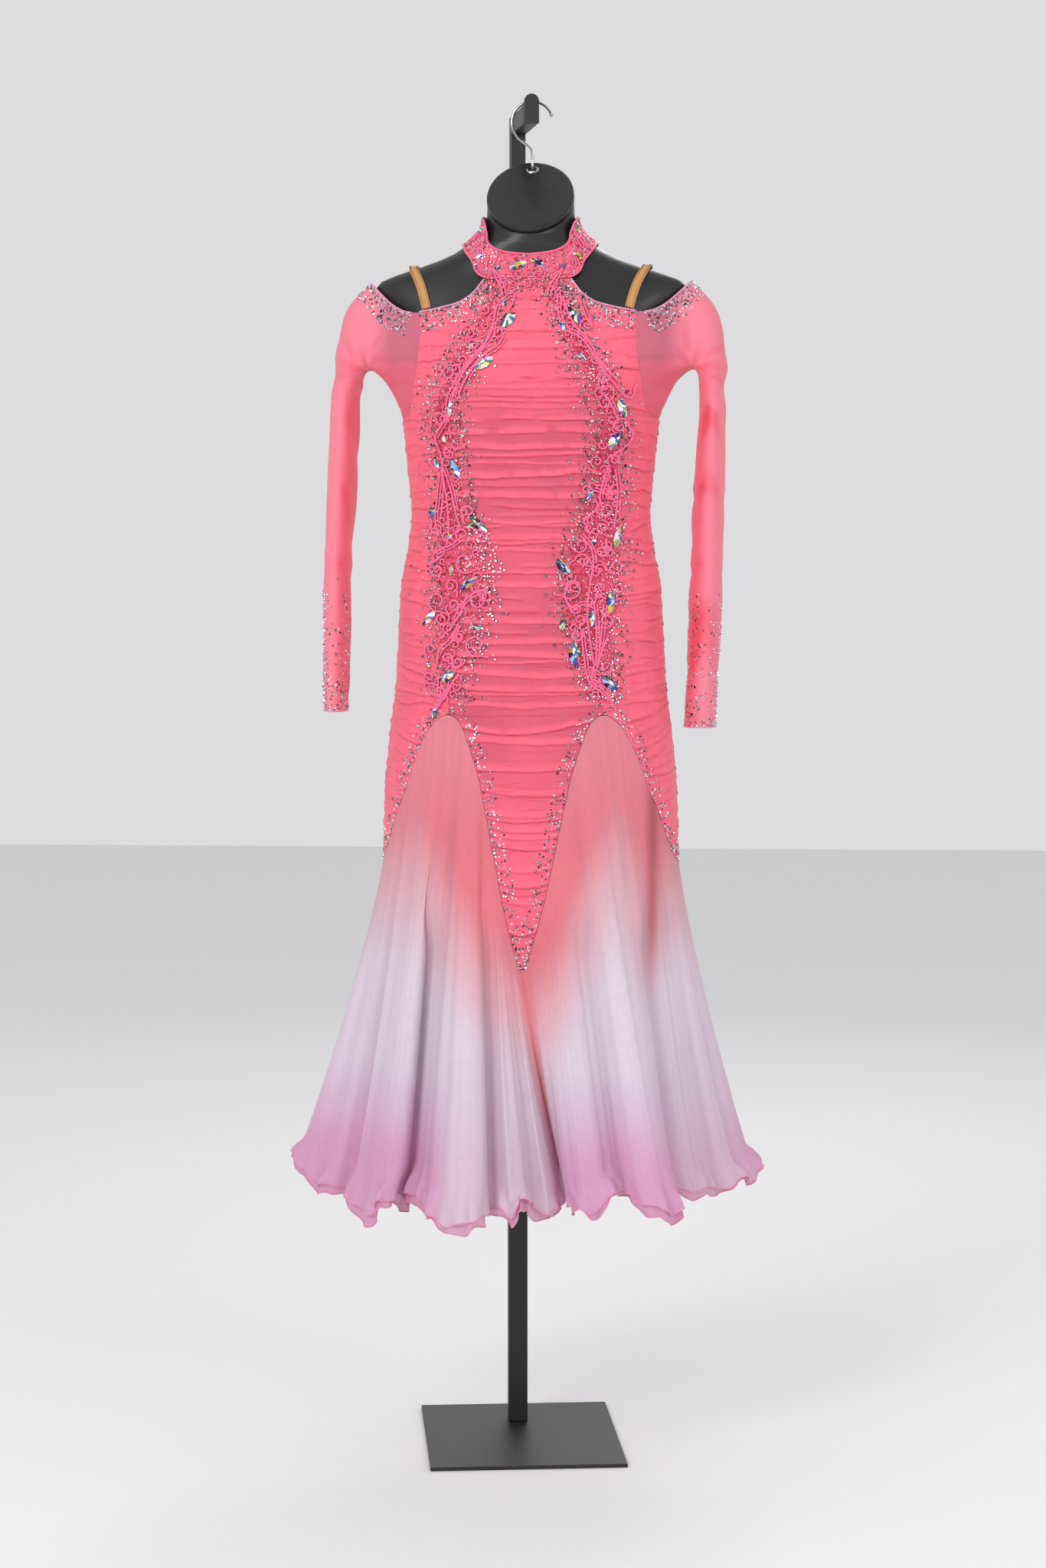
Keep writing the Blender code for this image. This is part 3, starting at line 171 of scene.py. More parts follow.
# Lower edges of the gathers down the middle of the front.
FOLDS = (
    1.497, 1.4919, 1.4799, 1.4501, 1.4305, 1.4101, 1.3919, 1.3805, 1.3711, 1.3636, 1.3551, 1.3409, 1.3231,
    1.3042, 1.2957, 1.2871, 1.270, 1.2585, 1.2432, 1.2298, 1.2193, 1.2116, 1.2048, 1.1904, 1.1846, 1.176,
    1.1567, 1.1471, 1.1298, 1.1183, 1.0991, 1.0847, 1.0722, 1.0578, 1.0415, 1.0358, 1.0214, 1.0042, 0.9984,
    0.984, 0.9560, 0.936, 0.9024, 0.8717, 0.8468, 0.8401, 0.8277, 0.8191, 0.8038, 0.7781, 0.7593, 0.7517,
    0.7357, 0.6981,
)
STEMS = {
    -1: (
        ((-0.0230, 1.4982), (-0.0360, 1.4833), (-0.0400, 1.4634), (-0.0442, 1.4438), (-0.0554, 1.4293),
         (-0.0727, 1.4103), (-0.0825, 1.3961), (-0.0905, 1.3820), (-0.0978, 1.3680), (-0.1002, 1.3443),
         (-0.1088, 1.3303), (-0.1142, 1.3210), (-0.1124, 1.3114), (-0.1067, 1.2921), (-0.1052, 1.2536),
         (-0.1097, 1.2150)),
        ((-0.0153, 1.4981), (-0.0185, 1.4831), (-0.0305, 1.4682), (-0.0435, 1.4536), (-0.0497, 1.4340),
         (-0.0678, 1.4140), (-0.0795, 1.3960), (-0.0865, 1.3790), (-0.0928, 1.3631), (-0.0993, 1.3395)),
        ((-0.0267, 1.4435), (-0.0341, 1.4318), (-0.0484, 1.4223), (-0.0628, 1.4071), (-0.0764, 1.3863),
         (-0.0826, 1.3723)),
        ((-0.1048, 1.2825), (-0.0950, 1.2535), (-0.0903, 1.2293), (-0.0831, 1.2051)),
        ((-0.1069, 1.2806), (-0.1013, 1.2439), (-0.0983, 1.2052), (-0.1012, 1.1810)),
        ((-0.1090, 1.2777), (-0.1136, 1.2441), (-0.1159, 1.2151), (-0.1106, 1.1956)),
        ((-0.0791, 1.1954), (-0.0951, 1.1839), (-0.1156, 1.1743), (-0.1195, 1.1617)),
        ((-0.0723, 1.1230), (-0.0820, 1.0988), (-0.0939, 1.0795), (-0.1090, 1.0648)),
        ((-0.0486, 1.1279), (-0.0693, 1.1201), (-0.0841, 1.1037), (-0.0919, 1.0843)),
        ((-0.0839, 1.0844), (-0.0958, 1.0650), (-0.1089, 1.0503), (-0.1118, 1.0309)),
        ((-0.0754, 1.0363), (-0.0883, 1.0265), (-0.1035, 1.0214)),
        ((-0.0952, 1.0090), (-0.1012, 0.9973), (-0.1114, 0.9845), (-0.1185, 0.9727), (-0.1216, 0.9659)),
        ((-0.1086, 1.0213), (-0.1105, 1.0020), (-0.1114, 0.9826), (-0.1205, 0.9669)),
        ((-0.0833, 1.0217), (-0.0932, 1.0071), (-0.1032, 0.9905), (-0.1175, 0.9728)),
    ),
    1: (
        ((0.0387, 1.4979), (0.0393, 1.4808), (0.0427, 1.4630), (0.0497, 1.4512), (0.0631, 1.4454),
         (0.0757, 1.4338), (0.0882, 1.4147), (0.0977, 1.4005), (0.1091, 1.3865), (0.1203, 1.3736),
         (0.1315, 1.3683)),
        ((0.0446, 1.4949), (0.0529, 1.4729), (0.0629, 1.4552), (0.0765, 1.4417), (0.0852, 1.4262),
         (0.0939, 1.4091), (0.1090, 1.3941), (0.1166, 1.3867)),
        ((0.0668, 1.4880), (0.0750, 1.4682), (0.0819, 1.4555)),
        ((0.1015, 1.3692), (0.1089, 1.3533), (0.1145, 1.3392)),
        ((0.1239, 1.3376), (0.1313, 1.3255), (0.1275, 1.3130), (0.1133, 1.3012), (0.1038, 1.2934)),
        ((0.1009, 1.2819), (0.0951, 1.2627), (0.0913, 1.2435), (0.0950, 1.2291)),
        ((0.1103, 1.2802), (0.1131, 1.2533), (0.1111, 1.2245), (0.1084, 1.2051)),
        ((0.0722, 1.2146), (0.0845, 1.2262), (0.0922, 1.2387)),
        ((0.0847, 1.2530), (0.1036, 1.2484), (0.1197, 1.2534)),
        ((0.0676, 1.1953), (0.0800, 1.1808), (0.0840, 1.1616), (0.0804, 1.1375)),
        ((0.0804, 1.1375), (0.0769, 1.0990), (0.0810, 1.0605), (0.0859, 1.0317)),
        ((0.0854, 1.1086), (0.0885, 1.0701), (0.0878, 1.0317)),
        ((0.0968, 1.1086), (0.0942, 1.0701), (0.0897, 1.0297)),
        ((0.1027, 1.0700), (0.0953, 1.0508), (0.0897, 1.0297)),
        ((0.0695, 1.0750), (0.0735, 1.0414), (0.0794, 1.0125), (0.0956, 0.9980), (0.1099, 0.9833),
         (0.1118, 0.9755)),
        ((0.0859, 1.0317), (0.0832, 1.0125), (0.0956, 1.0028), (0.1080, 0.9881)),
        ((0.0566, 1.1375), (0.0491, 1.1231), (0.0540, 1.1087), (0.0664, 1.1019)),
        ((0.0569, 1.0991), (0.0711, 1.1086), (0.0854, 1.1038)),
    ),
}
# Scrolls of cord: x, height, radius in millimetres.
SCROLLS = {
    -1: (
        (-0.0346, 1.4465, 10), (-0.0946, 1.3994, 11), (-0.1084, 1.3417, 13), (-0.0963, 1.2995, 10),
        (-0.0732, 1.2263, 10), (-0.1138, 1.2053, 9), (-0.0811, 1.1974, 11), (-0.1131, 1.1519, 13),
        (-0.0767, 1.1616, 17), (-0.0944, 1.1326, 10), (-0.1126, 1.1132, 16), (-0.0583, 1.1134, 18),
        (-0.1062, 1.0910, 12), (-0.0912, 1.1084, 9), (-0.0617, 1.0585, 18), (-0.0837, 1.0680, 9),
        (-0.1213, 1.0521, 9), (-0.0854, 1.0362, 9), (-0.1220, 1.0162, 9), (-0.1084, 0.9972, 9),
        (-0.0552, 1.1934, 10), (-0.1104, 1.1762, 9), (-0.1003, 1.1955, 7), (-0.0986, 1.0408, 8),
    ),
    1: (
        (0.0761, 1.4583, 10), (0.0882, 1.4147, 10), (0.0959, 1.3947, 10), (0.0997, 1.3748, 12),
        (0.1259, 1.3757, 9), (0.1163, 1.3336, 13), (0.1085, 1.2916, 9), (0.0988, 1.2292, 13),
        (0.0951, 1.2050, 9), (0.0676, 1.1837, 13), (0.0707, 1.1635, 11), (0.1106, 1.1568, 13),
        (0.0860, 1.1490, 10), (0.0567, 1.1298, 17), (0.0928, 1.1298, 9), (0.0997, 1.0883, 11),
        (0.0638, 1.0702, 10), (0.1001, 1.0296, 12), (0.0779, 1.2146, 8), (0.1083, 1.2485, 10),
        (0.0943, 1.1761, 10), (0.0635, 1.1038, 8), (0.0806, 1.1134, 7), (0.0752, 1.2530, 8),
        (0.0989, 1.2532, 8), (0.1146, 1.1297, 8),
    ),
}
# Large crystals: x, height, length and width in millimetres, and the turn of the long axis.
CRYSTALS = {
    -1: (
        (-0.0284, 1.4882, 12, 6, 80), (-0.0217, 1.4652, 22, 12, 55), (-0.0511, 1.4107, 24, 11, 30),
        (-0.0673, 1.4325, 9, 5, 40), (-0.0949, 1.3555, 20, 7, 80), (-0.1040, 1.3178, 9, 6, 90),
        (-0.1140, 1.2865, 12, 6, 110), (-0.0906, 1.2803, 24, 9, 118), (-0.1202, 1.2258, 14, 10, 30),
        (-0.0711, 1.2070, 8, 8, 0), (-0.0602, 1.2098, 26, 9, 140), (-0.0972, 1.1955, 8, 8, 0),
        (-0.0947, 1.1519, 12, 6, 90), (-0.0724, 1.1355, 22, 11, 30), (-0.1227, 1.0927, 20, 10, 45),
        (-0.0619, 1.0797, 15, 6, 170), (-0.0984, 1.0186, 22, 11, 35), (-0.1154, 0.9728, 14, 6, 70),
        (-0.1242, 1.0326, 8, 6, 110),
    ),
    1: (
        (0.0606, 1.4710, 24, 12, 120), (0.0467, 1.4570, 14, 7, 115), (0.0703, 1.4182, 12, 7, 150),
        (0.1202, 1.3555, 22, 12, 125), (0.1106, 1.3164, 24, 12, 55), (0.0799, 1.2482, 14, 7, 60),
        (0.1141, 1.1935, 24, 10, 70), (0.0469, 1.1567, 20, 11, 135), (0.0847, 1.1886, 9, 7, 60),
        (0.1062, 1.1114, 24, 11, 80), (0.0836, 1.0913, 18, 8, 85), (0.0475, 1.0837, 12, 8, 60),
        (0.0621, 1.0482, 26, 14, 90), (0.1050, 1.0094, 24, 10, 140),
    ),
}


# ---------------------------------------------------------------- curves and the body surface
def catmull(rows, shares):
    """Rows of a table at shares of its first column, on Catmull-Rom curves."""
    table = np.array(rows, float)
    s = table[:, 0]
    shares = np.asarray(shares, float)
    k = np.clip(np.searchsorted(s, shares, side="right") - 1, 0, len(s) - 2)
    t = ((shares - s[k]) / (s[k + 1] - s[k]))[..., None]
    before = table[np.maximum(k - 1, 0), 1:]
    start = table[k, 1:]
    end = table[k + 1, 1:]
    after = table[np.minimum(k + 2, len(s) - 1), 1:]
    bend = (2 * before - 5 * start + 4 * end - after) * t * t
    return (2 * start + (end - before) * t + bend + (3 * start - before - 3 * end + after) * t ** 3) / 2


def monotone(rows, at):
    """Columns of a table at values of its first one, on monotone cubic curves."""
    table = np.array(rows, float)
    table = table[np.argsort(table[:, 0])]
    xs = table[:, 0]
    ys = table[:, 1:]
    steps = np.diff(xs)
    slopes = np.diff(ys, axis=0) / steps[:, None]
    total = slopes[:-1] + slopes[1:]
    harmonic = 2 * slopes[:-1] * slopes[1:] / np.where(np.abs(total) > 1e-12, total, 1)
    tangents = np.vstack([slopes[:1], np.where(slopes[:-1] * slopes[1:] > 0, harmonic, 0), slopes[-1:]])
    at = np.clip(np.asarray(at, float), xs[0], xs[-1])
    k = np.clip(np.searchsorted(xs, at, side="right") - 1, 0, len(steps) - 1)
    t = ((at - xs[k]) / steps[k])[..., None]
    keep = (1 + 2 * t) * (1 - t) ** 2 * ys[k] + t * t * (3 - 2 * t) * ys[k + 1]
    turn = t * (1 - t) ** 2 * tangents[k] - t * t * (1 - t) * tangents[k + 1]
    return keep + turn * steps[k][..., None]


FINE_Z = np.linspace(BODY[0][0], BODY[-1][0], 3000)
FINE_BODY = monotone(BODY, FINE_Z)
FINE_SLOPE = np.gradient(FINE_BODY, FINE_Z, axis=0)


def sizes_at(z):
    return [np.interp(z, FINE_Z, FINE_BODY[:, i]) for i in range(3)]


def body(bearing, z, lift=0.0, with_normal=False):
    """Points of the body surface at bearings and heights, moved out along their normals."""
    bearing, z = np.broadcast_arrays(np.asarray(bearing, float), np.asarray(z, float))
    half, front, back = sizes_at(z)
    half_slope, front_slope, back_slope = [np.interp(z, FINE_Z, FINE_SLOPE[:, i]) for i in range(3)]
    s = np.sin(np.radians(bearing))
    c = np.cos(np.radians(bearing))
    depth = np.where(c > 0, front, back)
    depth_slope = np.where(c > 0, front_slope, back_slope)
    rise = -half * depth_slope * c * c - depth * half_slope * s * s
    normal = np.stack([depth * s, -half * c, rise], -1)
    normal /= np.linalg.norm(normal, axis=-1, keepdims=True)
    points = np.stack([half * s, -depth * c, z], -1) + normal * np.asarray(lift, float)[..., None]
    return (points, normal) if with_normal else points


def girth(bearing, z):
    """Metres per degree round the body."""
    half, front, back = sizes_at(z)
    c = np.cos(np.radians(bearing))
    s = np.sin(np.radians(bearing))
    depth = np.where(c > 0, front, back)
    return np.radians(1.0) * np.hypot(half * c, depth * s)


def smooth(low, high, value):
    t = np.clip((value - low) / (high - low), 0, 1)
    return t * t * (3 - 2 * t)


ARCH_SHARES = np.arange(len(ARCH)) / (len(ARCH) - 1)
FINE_ARCH = catmull([(s, *row) for s, row in zip(ARCH_SHARES, ARCH)], np.linspace(0, 1, 1200))
PEAK = int(np.argmax(FINE_ARCH[:, 1]))
PEAK_Z = float(FINE_ARCH[PEAK, 1])
PEAK_BEARING = float(FINE_ARCH[PEAK, 0])


def arch_outer(z):
    order = np.argsort(FINE_ARCH[:PEAK + 1, 1])
    return np.interp(z, FINE_ARCH[:PEAK + 1, 1][order], FINE_ARCH[:PEAK + 1, 0][order])


def arch_inner(z):
    order = np.argsort(FINE_ARCH[PEAK:, 1])
    return np.interp(z, FINE_ARCH[PEAK:, 1][order], FINE_ARCH[PEAK:, 0][order])


def princess(z):
    above = monotone([(row[0], row[1]) for row in BODICE], z)[..., 0]
    return np.where(z > PEAK_Z, above + (PEAK_BEARING - 33.0) * smooth(1.0, PEAK_Z, z), arch_inner(z))


def side_low(z):
    above = monotone([(row[0], row[1]) for row in BODICE], z)[..., 0]
    return np.where(z > PEAK_Z, above + (PEAK_BEARING - 33.0) * smooth(1.0, PEAK_Z, z), arch_outer(z))


def outer_edge(z):
    return monotone([(row[0], row[2]) for row in BODICE], z)[..., 0]


# ---------------------------------------------------------------- noise
def value_noise(x, y, seed):
    """Smooth noise from -1 to 1 over a plane."""
    field = np.random.default_rng(seed).uniform(-1, 1, (64, 64))
    xi = np.floor(x).astype(int)
    yi = np.floor(y).astype(int)
    fx = x - xi
    fy = y - yi
    fx = fx * fx * (3 - 2 * fx)
    fy = fy * fy * (3 - 2 * fy)
    a = field[xi % 64, yi % 64]
    b = field[(xi + 1) % 64, yi % 64]
    c = field[xi % 64, (yi + 1) % 64]
    d = field[(xi + 1) % 64, (yi + 1) % 64]
    return (a * (1 - fx) + b * fx) * (1 - fy) + (c * (1 - fx) + d * fx) * fy


def rgb(red, green, blue):
    """A screen colour, 0 to 255 each, as linear values."""
    value = np.array([red, green, blue], float) / 255
    return np.where(value <= 0.04045, value / 12.92, ((value + 0.055) / 1.055) ** 2.4)


def blend_colours(a, b, share):
    return a + (b - a) * np.asarray(share)[..., None]


CORAL = rgb(250, 108, 130)
CORAL_DULL = rgb(200, 86, 108)
CORAL_DEEP = rgb(238, 62, 84)
# painted shadow colour for the dark line under each tuck
CORAL_CREASE_SHADE = rgb(172, 30, 56)
SHEER = rgb(255, 142, 162)
SHEER_DUSKY = rgb(214, 112, 136)


# ---------------------------------------------------------------- shaders
class Value:
    """A shader socket that takes arithmetic."""

    def __init__(self, tree, socket):
        self.tree = tree
        self.socket = socket

    def work(self, operation, a, b=None):
        node = self.tree.nodes.new("ShaderNodeMath")
        node.operation = operation
        for slot_number, value in enumerate((a, b)):
            if isinstance(value, Value):
                self.tree.links.new(value.socket, node.inputs[slot_number])
            elif value is not None:
                node.inputs[slot_number].default_value = value
        return Value(self.tree, node.outputs[0])

    def __add__(self, other):
        return self.work("ADD", self, other)

    __radd__ = __add__

    def __sub__(self, other):
        return self.work("SUBTRACT", self, other)

    def __rsub__(self, other):
        return self.work("SUBTRACT", other, self)

    def __mul__(self, other):
        return self.work("MULTIPLY", self, other)

    __rmul__ = __mul__

    def __pow__(self, other):
        return self.work("POWER", self, other)

    def sine(self):
        return self.work("SINE", self)

    def absolute(self):
        return self.work("ABSOLUTE", self)

    def clamped(self):
        return self.work("MAXIMUM", self.work("MINIMUM", self, 1.0), 0.0)


class Finish:
    """One procedural material and the nodes it is made of."""

    def __init__(self, name, **constants):
        self.material = bpy.data.materials.new(name)
        self.material.use_nodes = True
        self.tree = self.material.node_tree
        self.shader = self.tree.nodes["Principled BSDF"]
        for key, value in constants.items():
            self.shader.inputs[key.replace("_", " ")].default_value = value

    def node(self, kind, settings=None, output=0, **values):
        made = self.tree.nodes.new(kind)
        for key, value in (settings or {}).items():
            setattr(made, key, value)
        for key, value in values.items():
            self.put(made.inputs[key.replace("_", " ")], value)
        return Value(self.tree, made.outputs[output])

    def put(self, socket, value):
        if isinstance(value, Value):
            self.tree.links.new(value.socket, socket)
        else:
            socket.default_value = value

    def set(self, **values):
        for key, value in values.items():
            self.put(self.shader.inputs[key.replace("_", " ")], value)
        return self

    def object_point(self):
        return self.node("ShaderNodeTexCoord", output=3)

    def cloth_point(self):
        """The piece's own UV in metres, as two numbers."""
        point = self.node("ShaderNodeUVMap", {"uv_map": "cloth"})
        split = self.tree.nodes.new("ShaderNodeSeparateXYZ")
        self.tree.links.new(point.socket, split.inputs[0])
        return Value(self.tree, split.outputs[0]), Value(self.tree, split.outputs[1]), point

    def noise(self, point, scale, detail=3.0, roughness=0.55):
        return self.node(
            "ShaderNodeTexNoise", Vector=point, Scale=scale, Detail=detail, Roughness=roughness)

    def tint(self, output=0):
        return self.node("ShaderNodeAttribute", {"attribute_name": "tint"}, output)

    def times(self, colour, amount):
        """A colour made darker or lighter by a number."""
        node = self.tree.nodes.new("ShaderNodeVectorMath")
        node.operation = "SCALE"
        self.tree.links.new(colour.socket, node.inputs[0])
        self.put(node.inputs["Scale"], amount)
        return Value(self.tree, node.outputs[0])

    def bump(self, height, distance, strength=1.0):
        self.set(Normal=self.node("ShaderNodeBump", Height=height, Distance=distance, Strength=strength))
        return self

    def see_through(self, share):
        """Mixes in light that comes through the cloth."""
        glow = self.node("ShaderNodeBsdfTranslucent", Color=self.tint())
        mixed = self.node("ShaderNodeMixShader", Fac=share)
        mix_node = mixed.socket.node
        self.tree.links.new(self.shader.outputs[0], mix_node.inputs[1])
        self.tree.links.new(glow.socket, mix_node.inputs[2])
        self.tree.links.new(mixed.socket, self.tree.nodes["Material Output"].inputs[0])
        return self


def net_height(finish, pitch):
    u, v, _ = finish.cloth_point()
    turn = 2 * math.pi / pitch
    return (u * turn).sine() * (v * turn).sine()


def mesh_cloth(name, pitch, alpha, roughness, sheen, translucent, fine_hem=0.0):
    """Knitted stretch mesh: tint from the piece, a fine net, and soft mottling."""
    finish = Finish(name, Roughness=roughness, Sheen_Weight=sheen, Sheen_Roughness=0.45)
    finish.shader.inputs["Specular IOR Level"].default_value = 0.25
    finish.shader.inputs["Sheen Tint"].default_value = (1.0, 0.78, 0.80, 1.0)
    net = net_height(finish, pitch)
    mottle = finish.noise(finish.object_point(), 140.0, 4.0)
    finish.set(Base_Color=finish.times(finish.tint(), net * 0.05 + mottle * 0.16 + 0.92))
    finish.bump(net * 0.5 + mottle * 0.8, 0.0005, 0.35)
    if fine_hem:
        split = finish.tree.nodes.new("ShaderNodeSeparateXYZ")
        finish.tree.links.new(finish.object_point().socket, split.inputs[0])
        height = Value(finish.tree, split.outputs[2])
        finish.set(Alpha=((height - 0.36) * 4.0).clamped() * (alpha - fine_hem) + fine_hem)
    else:
        finish.set(Alpha=alpha)
    if translucent:
        finish.see_through(translucent)
    return finish.material


def plain(name, colour, roughness, metallic=0.0, coat=0.0, grain=0.0, grain_scale=900.0, speckle=0.0):
    finish = Finish(name, Roughness=roughness, Metallic=metallic, Coat_Weight=coat)
    finish.shader.inputs["Base Color"].default_value = (*colour, 1.0)
    if grain:
        finish.bump(finish.noise(finish.object_point(), grain_scale, 3.0), grain, 0.6)
    if speckle:
        cloud = finish.noise(finish.object_point(), 30.0, 5.0)
        finish.set(Roughness=cloud * speckle + (roughness - speckle / 2))
    return finish.material


def stone_finish(name, roughness, metallic):
    finish = Finish(name, Roughness=roughness, Metallic=metallic, Coat_Weight=0.6, Coat_Roughness=0.03)
    finish.set(Base_Color=finish.tint())
    return finish.material


def thread_finish(name, colour, twist):
    """Twisted cord: strands that wind round it, with painted shade in the grooves between them."""
    finish = Finish(name, Roughness=0.36, Sheen_Weight=0.3, Coat_Weight=0.25, Coat_Roughness=0.25)
    u, v, _ = finish.cloth_point()
    strand_relief_and_shade = (u * (2 * math.pi / twist) + v * (2 * math.pi)).sine()
    base = finish.node("ShaderNodeRGB")
    base.socket.default_value = (*colour, 1.0)
    # painted light and shade: the colour is lighter on the strand crests and darker in the grooves
    finish.set(Base_Color=finish.times(base, strand_relief_and_shade * 0.14 + 0.94))
    finish.bump(strand_relief_and_shade, 0.0003, 0.7)
    return finish.material


FINISHES = {
    "ruched": mesh_cloth("ruched mesh", 0.0011, 1.0, 0.62, 0.35, 0.0),
    "sheer": mesh_cloth("sheer mesh", 0.0011, 0.90, 0.6, 0.35, 0.18),
    "organza": mesh_cloth("ombre organza", 0.0006, 0.975, 0.42, 0.5, 0.30, 0.84),
    "cord": thread_finish("pink soutache cord", rgb(255, 98, 148), 0.0026),
    "hem": thread_finish("rolled hem thread", rgb(240, 150, 184), 0.0016),
    "silver": stone_finish("silver rhinestones", 0.22, 0.70),
    "aurora": stone_finish("aurora crystals", 0.06, 0.80),
    "berry": stone_finish("berry beads", 0.16, 0.15),
    "form": plain("black moulded form", (0.0045, 0.0045, 0.0055), 0.46, coat=0.10, grain=0.00012, speckle=0.10),
    "powder": plain("black powder coat", (0.009, 0.009, 0.010), 0.42, grain=0.0002, grain_scale=1400.0),
    "chrome": plain("bright plated wire", (0.46, 0.46, 0.48), 0.14, metallic=1.0, speckle=0.06),
    "elastic": plain("nude elastic", tuple(rgb(192, 140, 88)), 0.75, grain=0.0004, grain_scale=1600.0),
    "stitch": plain("elastic stitching", tuple(rgb(160, 112, 66)), 0.8, grain=0.0002),
    "floor": plain("studio floor", (0.80, 0.80, 0.80), 0.7, grain=0.0005, grain_scale=60.0),
}


# ---------------------------------------------------------------- mesh making
def build(name, points, faces, finish, tint=None, uv=None, corner_tint=None, flat=False):
    """A finished piece from arrays. tint is a colour for each point, uv a pair in metres."""
    mesh = bpy.data.meshes.new(name)
    points = np.asarray(points, float)
    mesh.from_pydata(points.tolist(), [], faces if isinstance(faces, list) else faces.tolist())
    mesh.materials.append(FINISHES[finish])
    corner_points = np.empty(len(mesh.loops), np.int64)
    mesh.loops.foreach_get("vertex_index", corner_points)
    if uv is not None:
        layer = mesh.uv_layers.new(name="cloth")
        layer.data.foreach_set("uv", np.asarray(uv, float)[corner_points].ravel())
    if tint is not None:
        corner_tint = np.asarray(tint, float)[corner_points]
    if corner_tint is not None:
        attribute = mesh.color_attributes.new("tint", "FLOAT_COLOR", "CORNER")
        whole = np.ones((len(corner_points), 4))
        whole[:, :3] = corner_tint
        attribute.data.foreach_set("color", whole.ravel())
    if flat:
        mesh.shade_flat()
    else:
        mesh.shade_smooth()
    mesh.update()
    made = bpy.data.objects.new(name, mesh)
    bpy.context.scene.collection.objects.link(made)
    return made


def grid_faces(rows, columns, flip=False, ring=False):
    i, j = np.meshgrid(np.arange(rows - 1), np.arange(columns if ring else columns - 1), indexing="ij")
    n = (j + 1) % columns
    quads = np.stack([i * columns + j, (i + 1) * columns + j, (i + 1) * columns + n, i * columns + n], -1)
    quads = quads.reshape(-1, 4)
    return quads[:, ::-1] if flip else quads


def cloth(name, grid, finish, tint, flip=False, uv=None):
    rows, columns = grid.shape[:2]
    if uv is None:
        across = np.linalg.norm(np.diff(grid, axis=1), axis=2)
        down = np.linalg.norm(np.diff(grid, axis=0), axis=2)
        u = np.concatenate([np.zeros((rows, 1)), np.cumsum(across, 1)], 1)
        u = u - u.mean(1, keepdims=True)
        v = np.concatenate([np.zeros((1, columns)), np.cumsum(down, 0)], 0)
        uv = np.stack([u, -v], -1)
    return build(
        name, grid.reshape(-1, 3), grid_faces(rows, columns, flip), finish,
        tint.reshape(-1, 3), uv.reshape(-1, 2))


def normals_of(grid):
    down = np.gradient(grid, axis=0)
    across = np.gradient(grid, axis=1)
    normal = np.cross(down, across)
    return normal / np.maximum(np.linalg.norm(normal, axis=2, keepdims=True), 1e-12)


class Trim:
    """Many small tubes or stones gathered into one piece."""

    def __init__(self):
        self.points = []
        self.faces = []
        self.tints = []
        self.uvs = []
        self.count = 0

    def tube(self, line, radius, sides=6, closed=False, squash=None):
        """A cord along a line, with flat caps unless it is closed into a ring."""
        line = np.asarray(line, float)
        if closed:
            tangent = np.roll(line, -1, 0) - np.roll(line, 1, 0)
        else:
            tangent = np.gradient(line, axis=0)
        tangent /= np.maximum(np.linalg.norm(tangent, axis=1, keepdims=True), 1e-12)
        up = np.array([0.0, 0.0, 1.0]) if squash is None else squash
        up = np.broadcast_to(up, line.shape)
        side = np.cross(tangent, up)
        weak = np.linalg.norm(side, axis=1) < 0.15
        side[weak] = np.cross(tangent[weak], np.array([0.9, 0.3, 0.1]))
        side /= np.linalg.norm(side, axis=1, keepdims=True)
        for k in range(1, len(side)):
            if side[k] @ side[k - 1] < 0:
                side[k] = -side[k]
        second = np.cross(side, tangent)
        turn = np.arange(sides) * 2 * math.pi / sides
        around = side[:, None] * np.cos(turn)[None, :, None] + second[:, None] * np.sin(turn)[None, :, None]
        ring = line[:, None] + radius * around
        length = np.concatenate([[0], np.cumsum(np.linalg.norm(np.diff(line, axis=0), axis=1))])
        uv = np.stack(np.broadcast_arrays(length[:, None], (np.arange(sides) / sides)[None]), -1)
        faces = grid_faces(len(line), sides, False, True)
        if closed:
            last = (len(line) - 1) * sides
            j = np.arange(sides)
            faces = np.vstack([faces, np.stack([last + j, j, (j + 1) % sides, last + (j + 1) % sides], -1)])
        faces = (faces + self.count).tolist()
        if not closed:
            faces.append([self.count + j for j in range(sides)])
            faces.append([self.count + (len(line) - 1) * sides + j for j in range(sides)][::-1])
        self.points.append(ring.reshape(-1, 3))
        self.uvs.append(uv.reshape(-1, 2))
        self.faces += faces
        self.count += len(line) * sides

    def gem(self, place, normal, turn, outline, height, table, colours):
        """A cut stone: girdle on the cloth, a ring of slanted facets, and a flat table."""
        normal = normal / np.linalg.norm(normal)
        along = np.array([0.0, 0.0, 1.0]) - normal * normal[2]
        along /= max(np.linalg.norm(along), 1e-9)
        across = np.cross(along, normal)
        c, s = math.cos(turn), math.sin(turn)
        first = across * c + along * s
        second = -across * s + along * c
        outline = np.asarray(outline)
        n = len(outline)
        low = place + outline[:, :1] * first + outline[:, 1:] * second
        high = place + normal * height + (outline[:, :1] * first + outline[:, 1:] * second) * table
        self.points.append(np.vstack([low, high]))
        start = self.count
        for k in range(n):
            m = (k + 1) % n
            self.faces.append([start + k, start + m, start + n + m, start + n + k])
            # painted glints and dark reflections: each facet gets a different tone
            self.tints.append((4, colours[k % len(colours)]))
        self.faces.append([start + n + k for k in range(n)])
        self.tints.append((n, colours[-1]))
        self.faces.append([start + k for k in range(n)][::-1])
        self.tints.append((n, colours[0]))
        self.count += 2 * n

    def piece(self, name, finish, flat=False):
        tint = None
        if self.tints:
            tint = np.concatenate([np.repeat(np.asarray(colour)[None], n, 0) for n, colour in self.tints])
        uv = np.vstack(self.uvs) if self.uvs else None
        return build(name, np.vstack(self.points), self.faces, finish, uv=uv, corner_tint=tint, flat=flat)


def round_outline(diameter, sides=6):
    turn = np.arange(sides) * 2 * math.pi / sides
    return np.stack([np.cos(turn), np.sin(turn)], -1) * diameter / 2


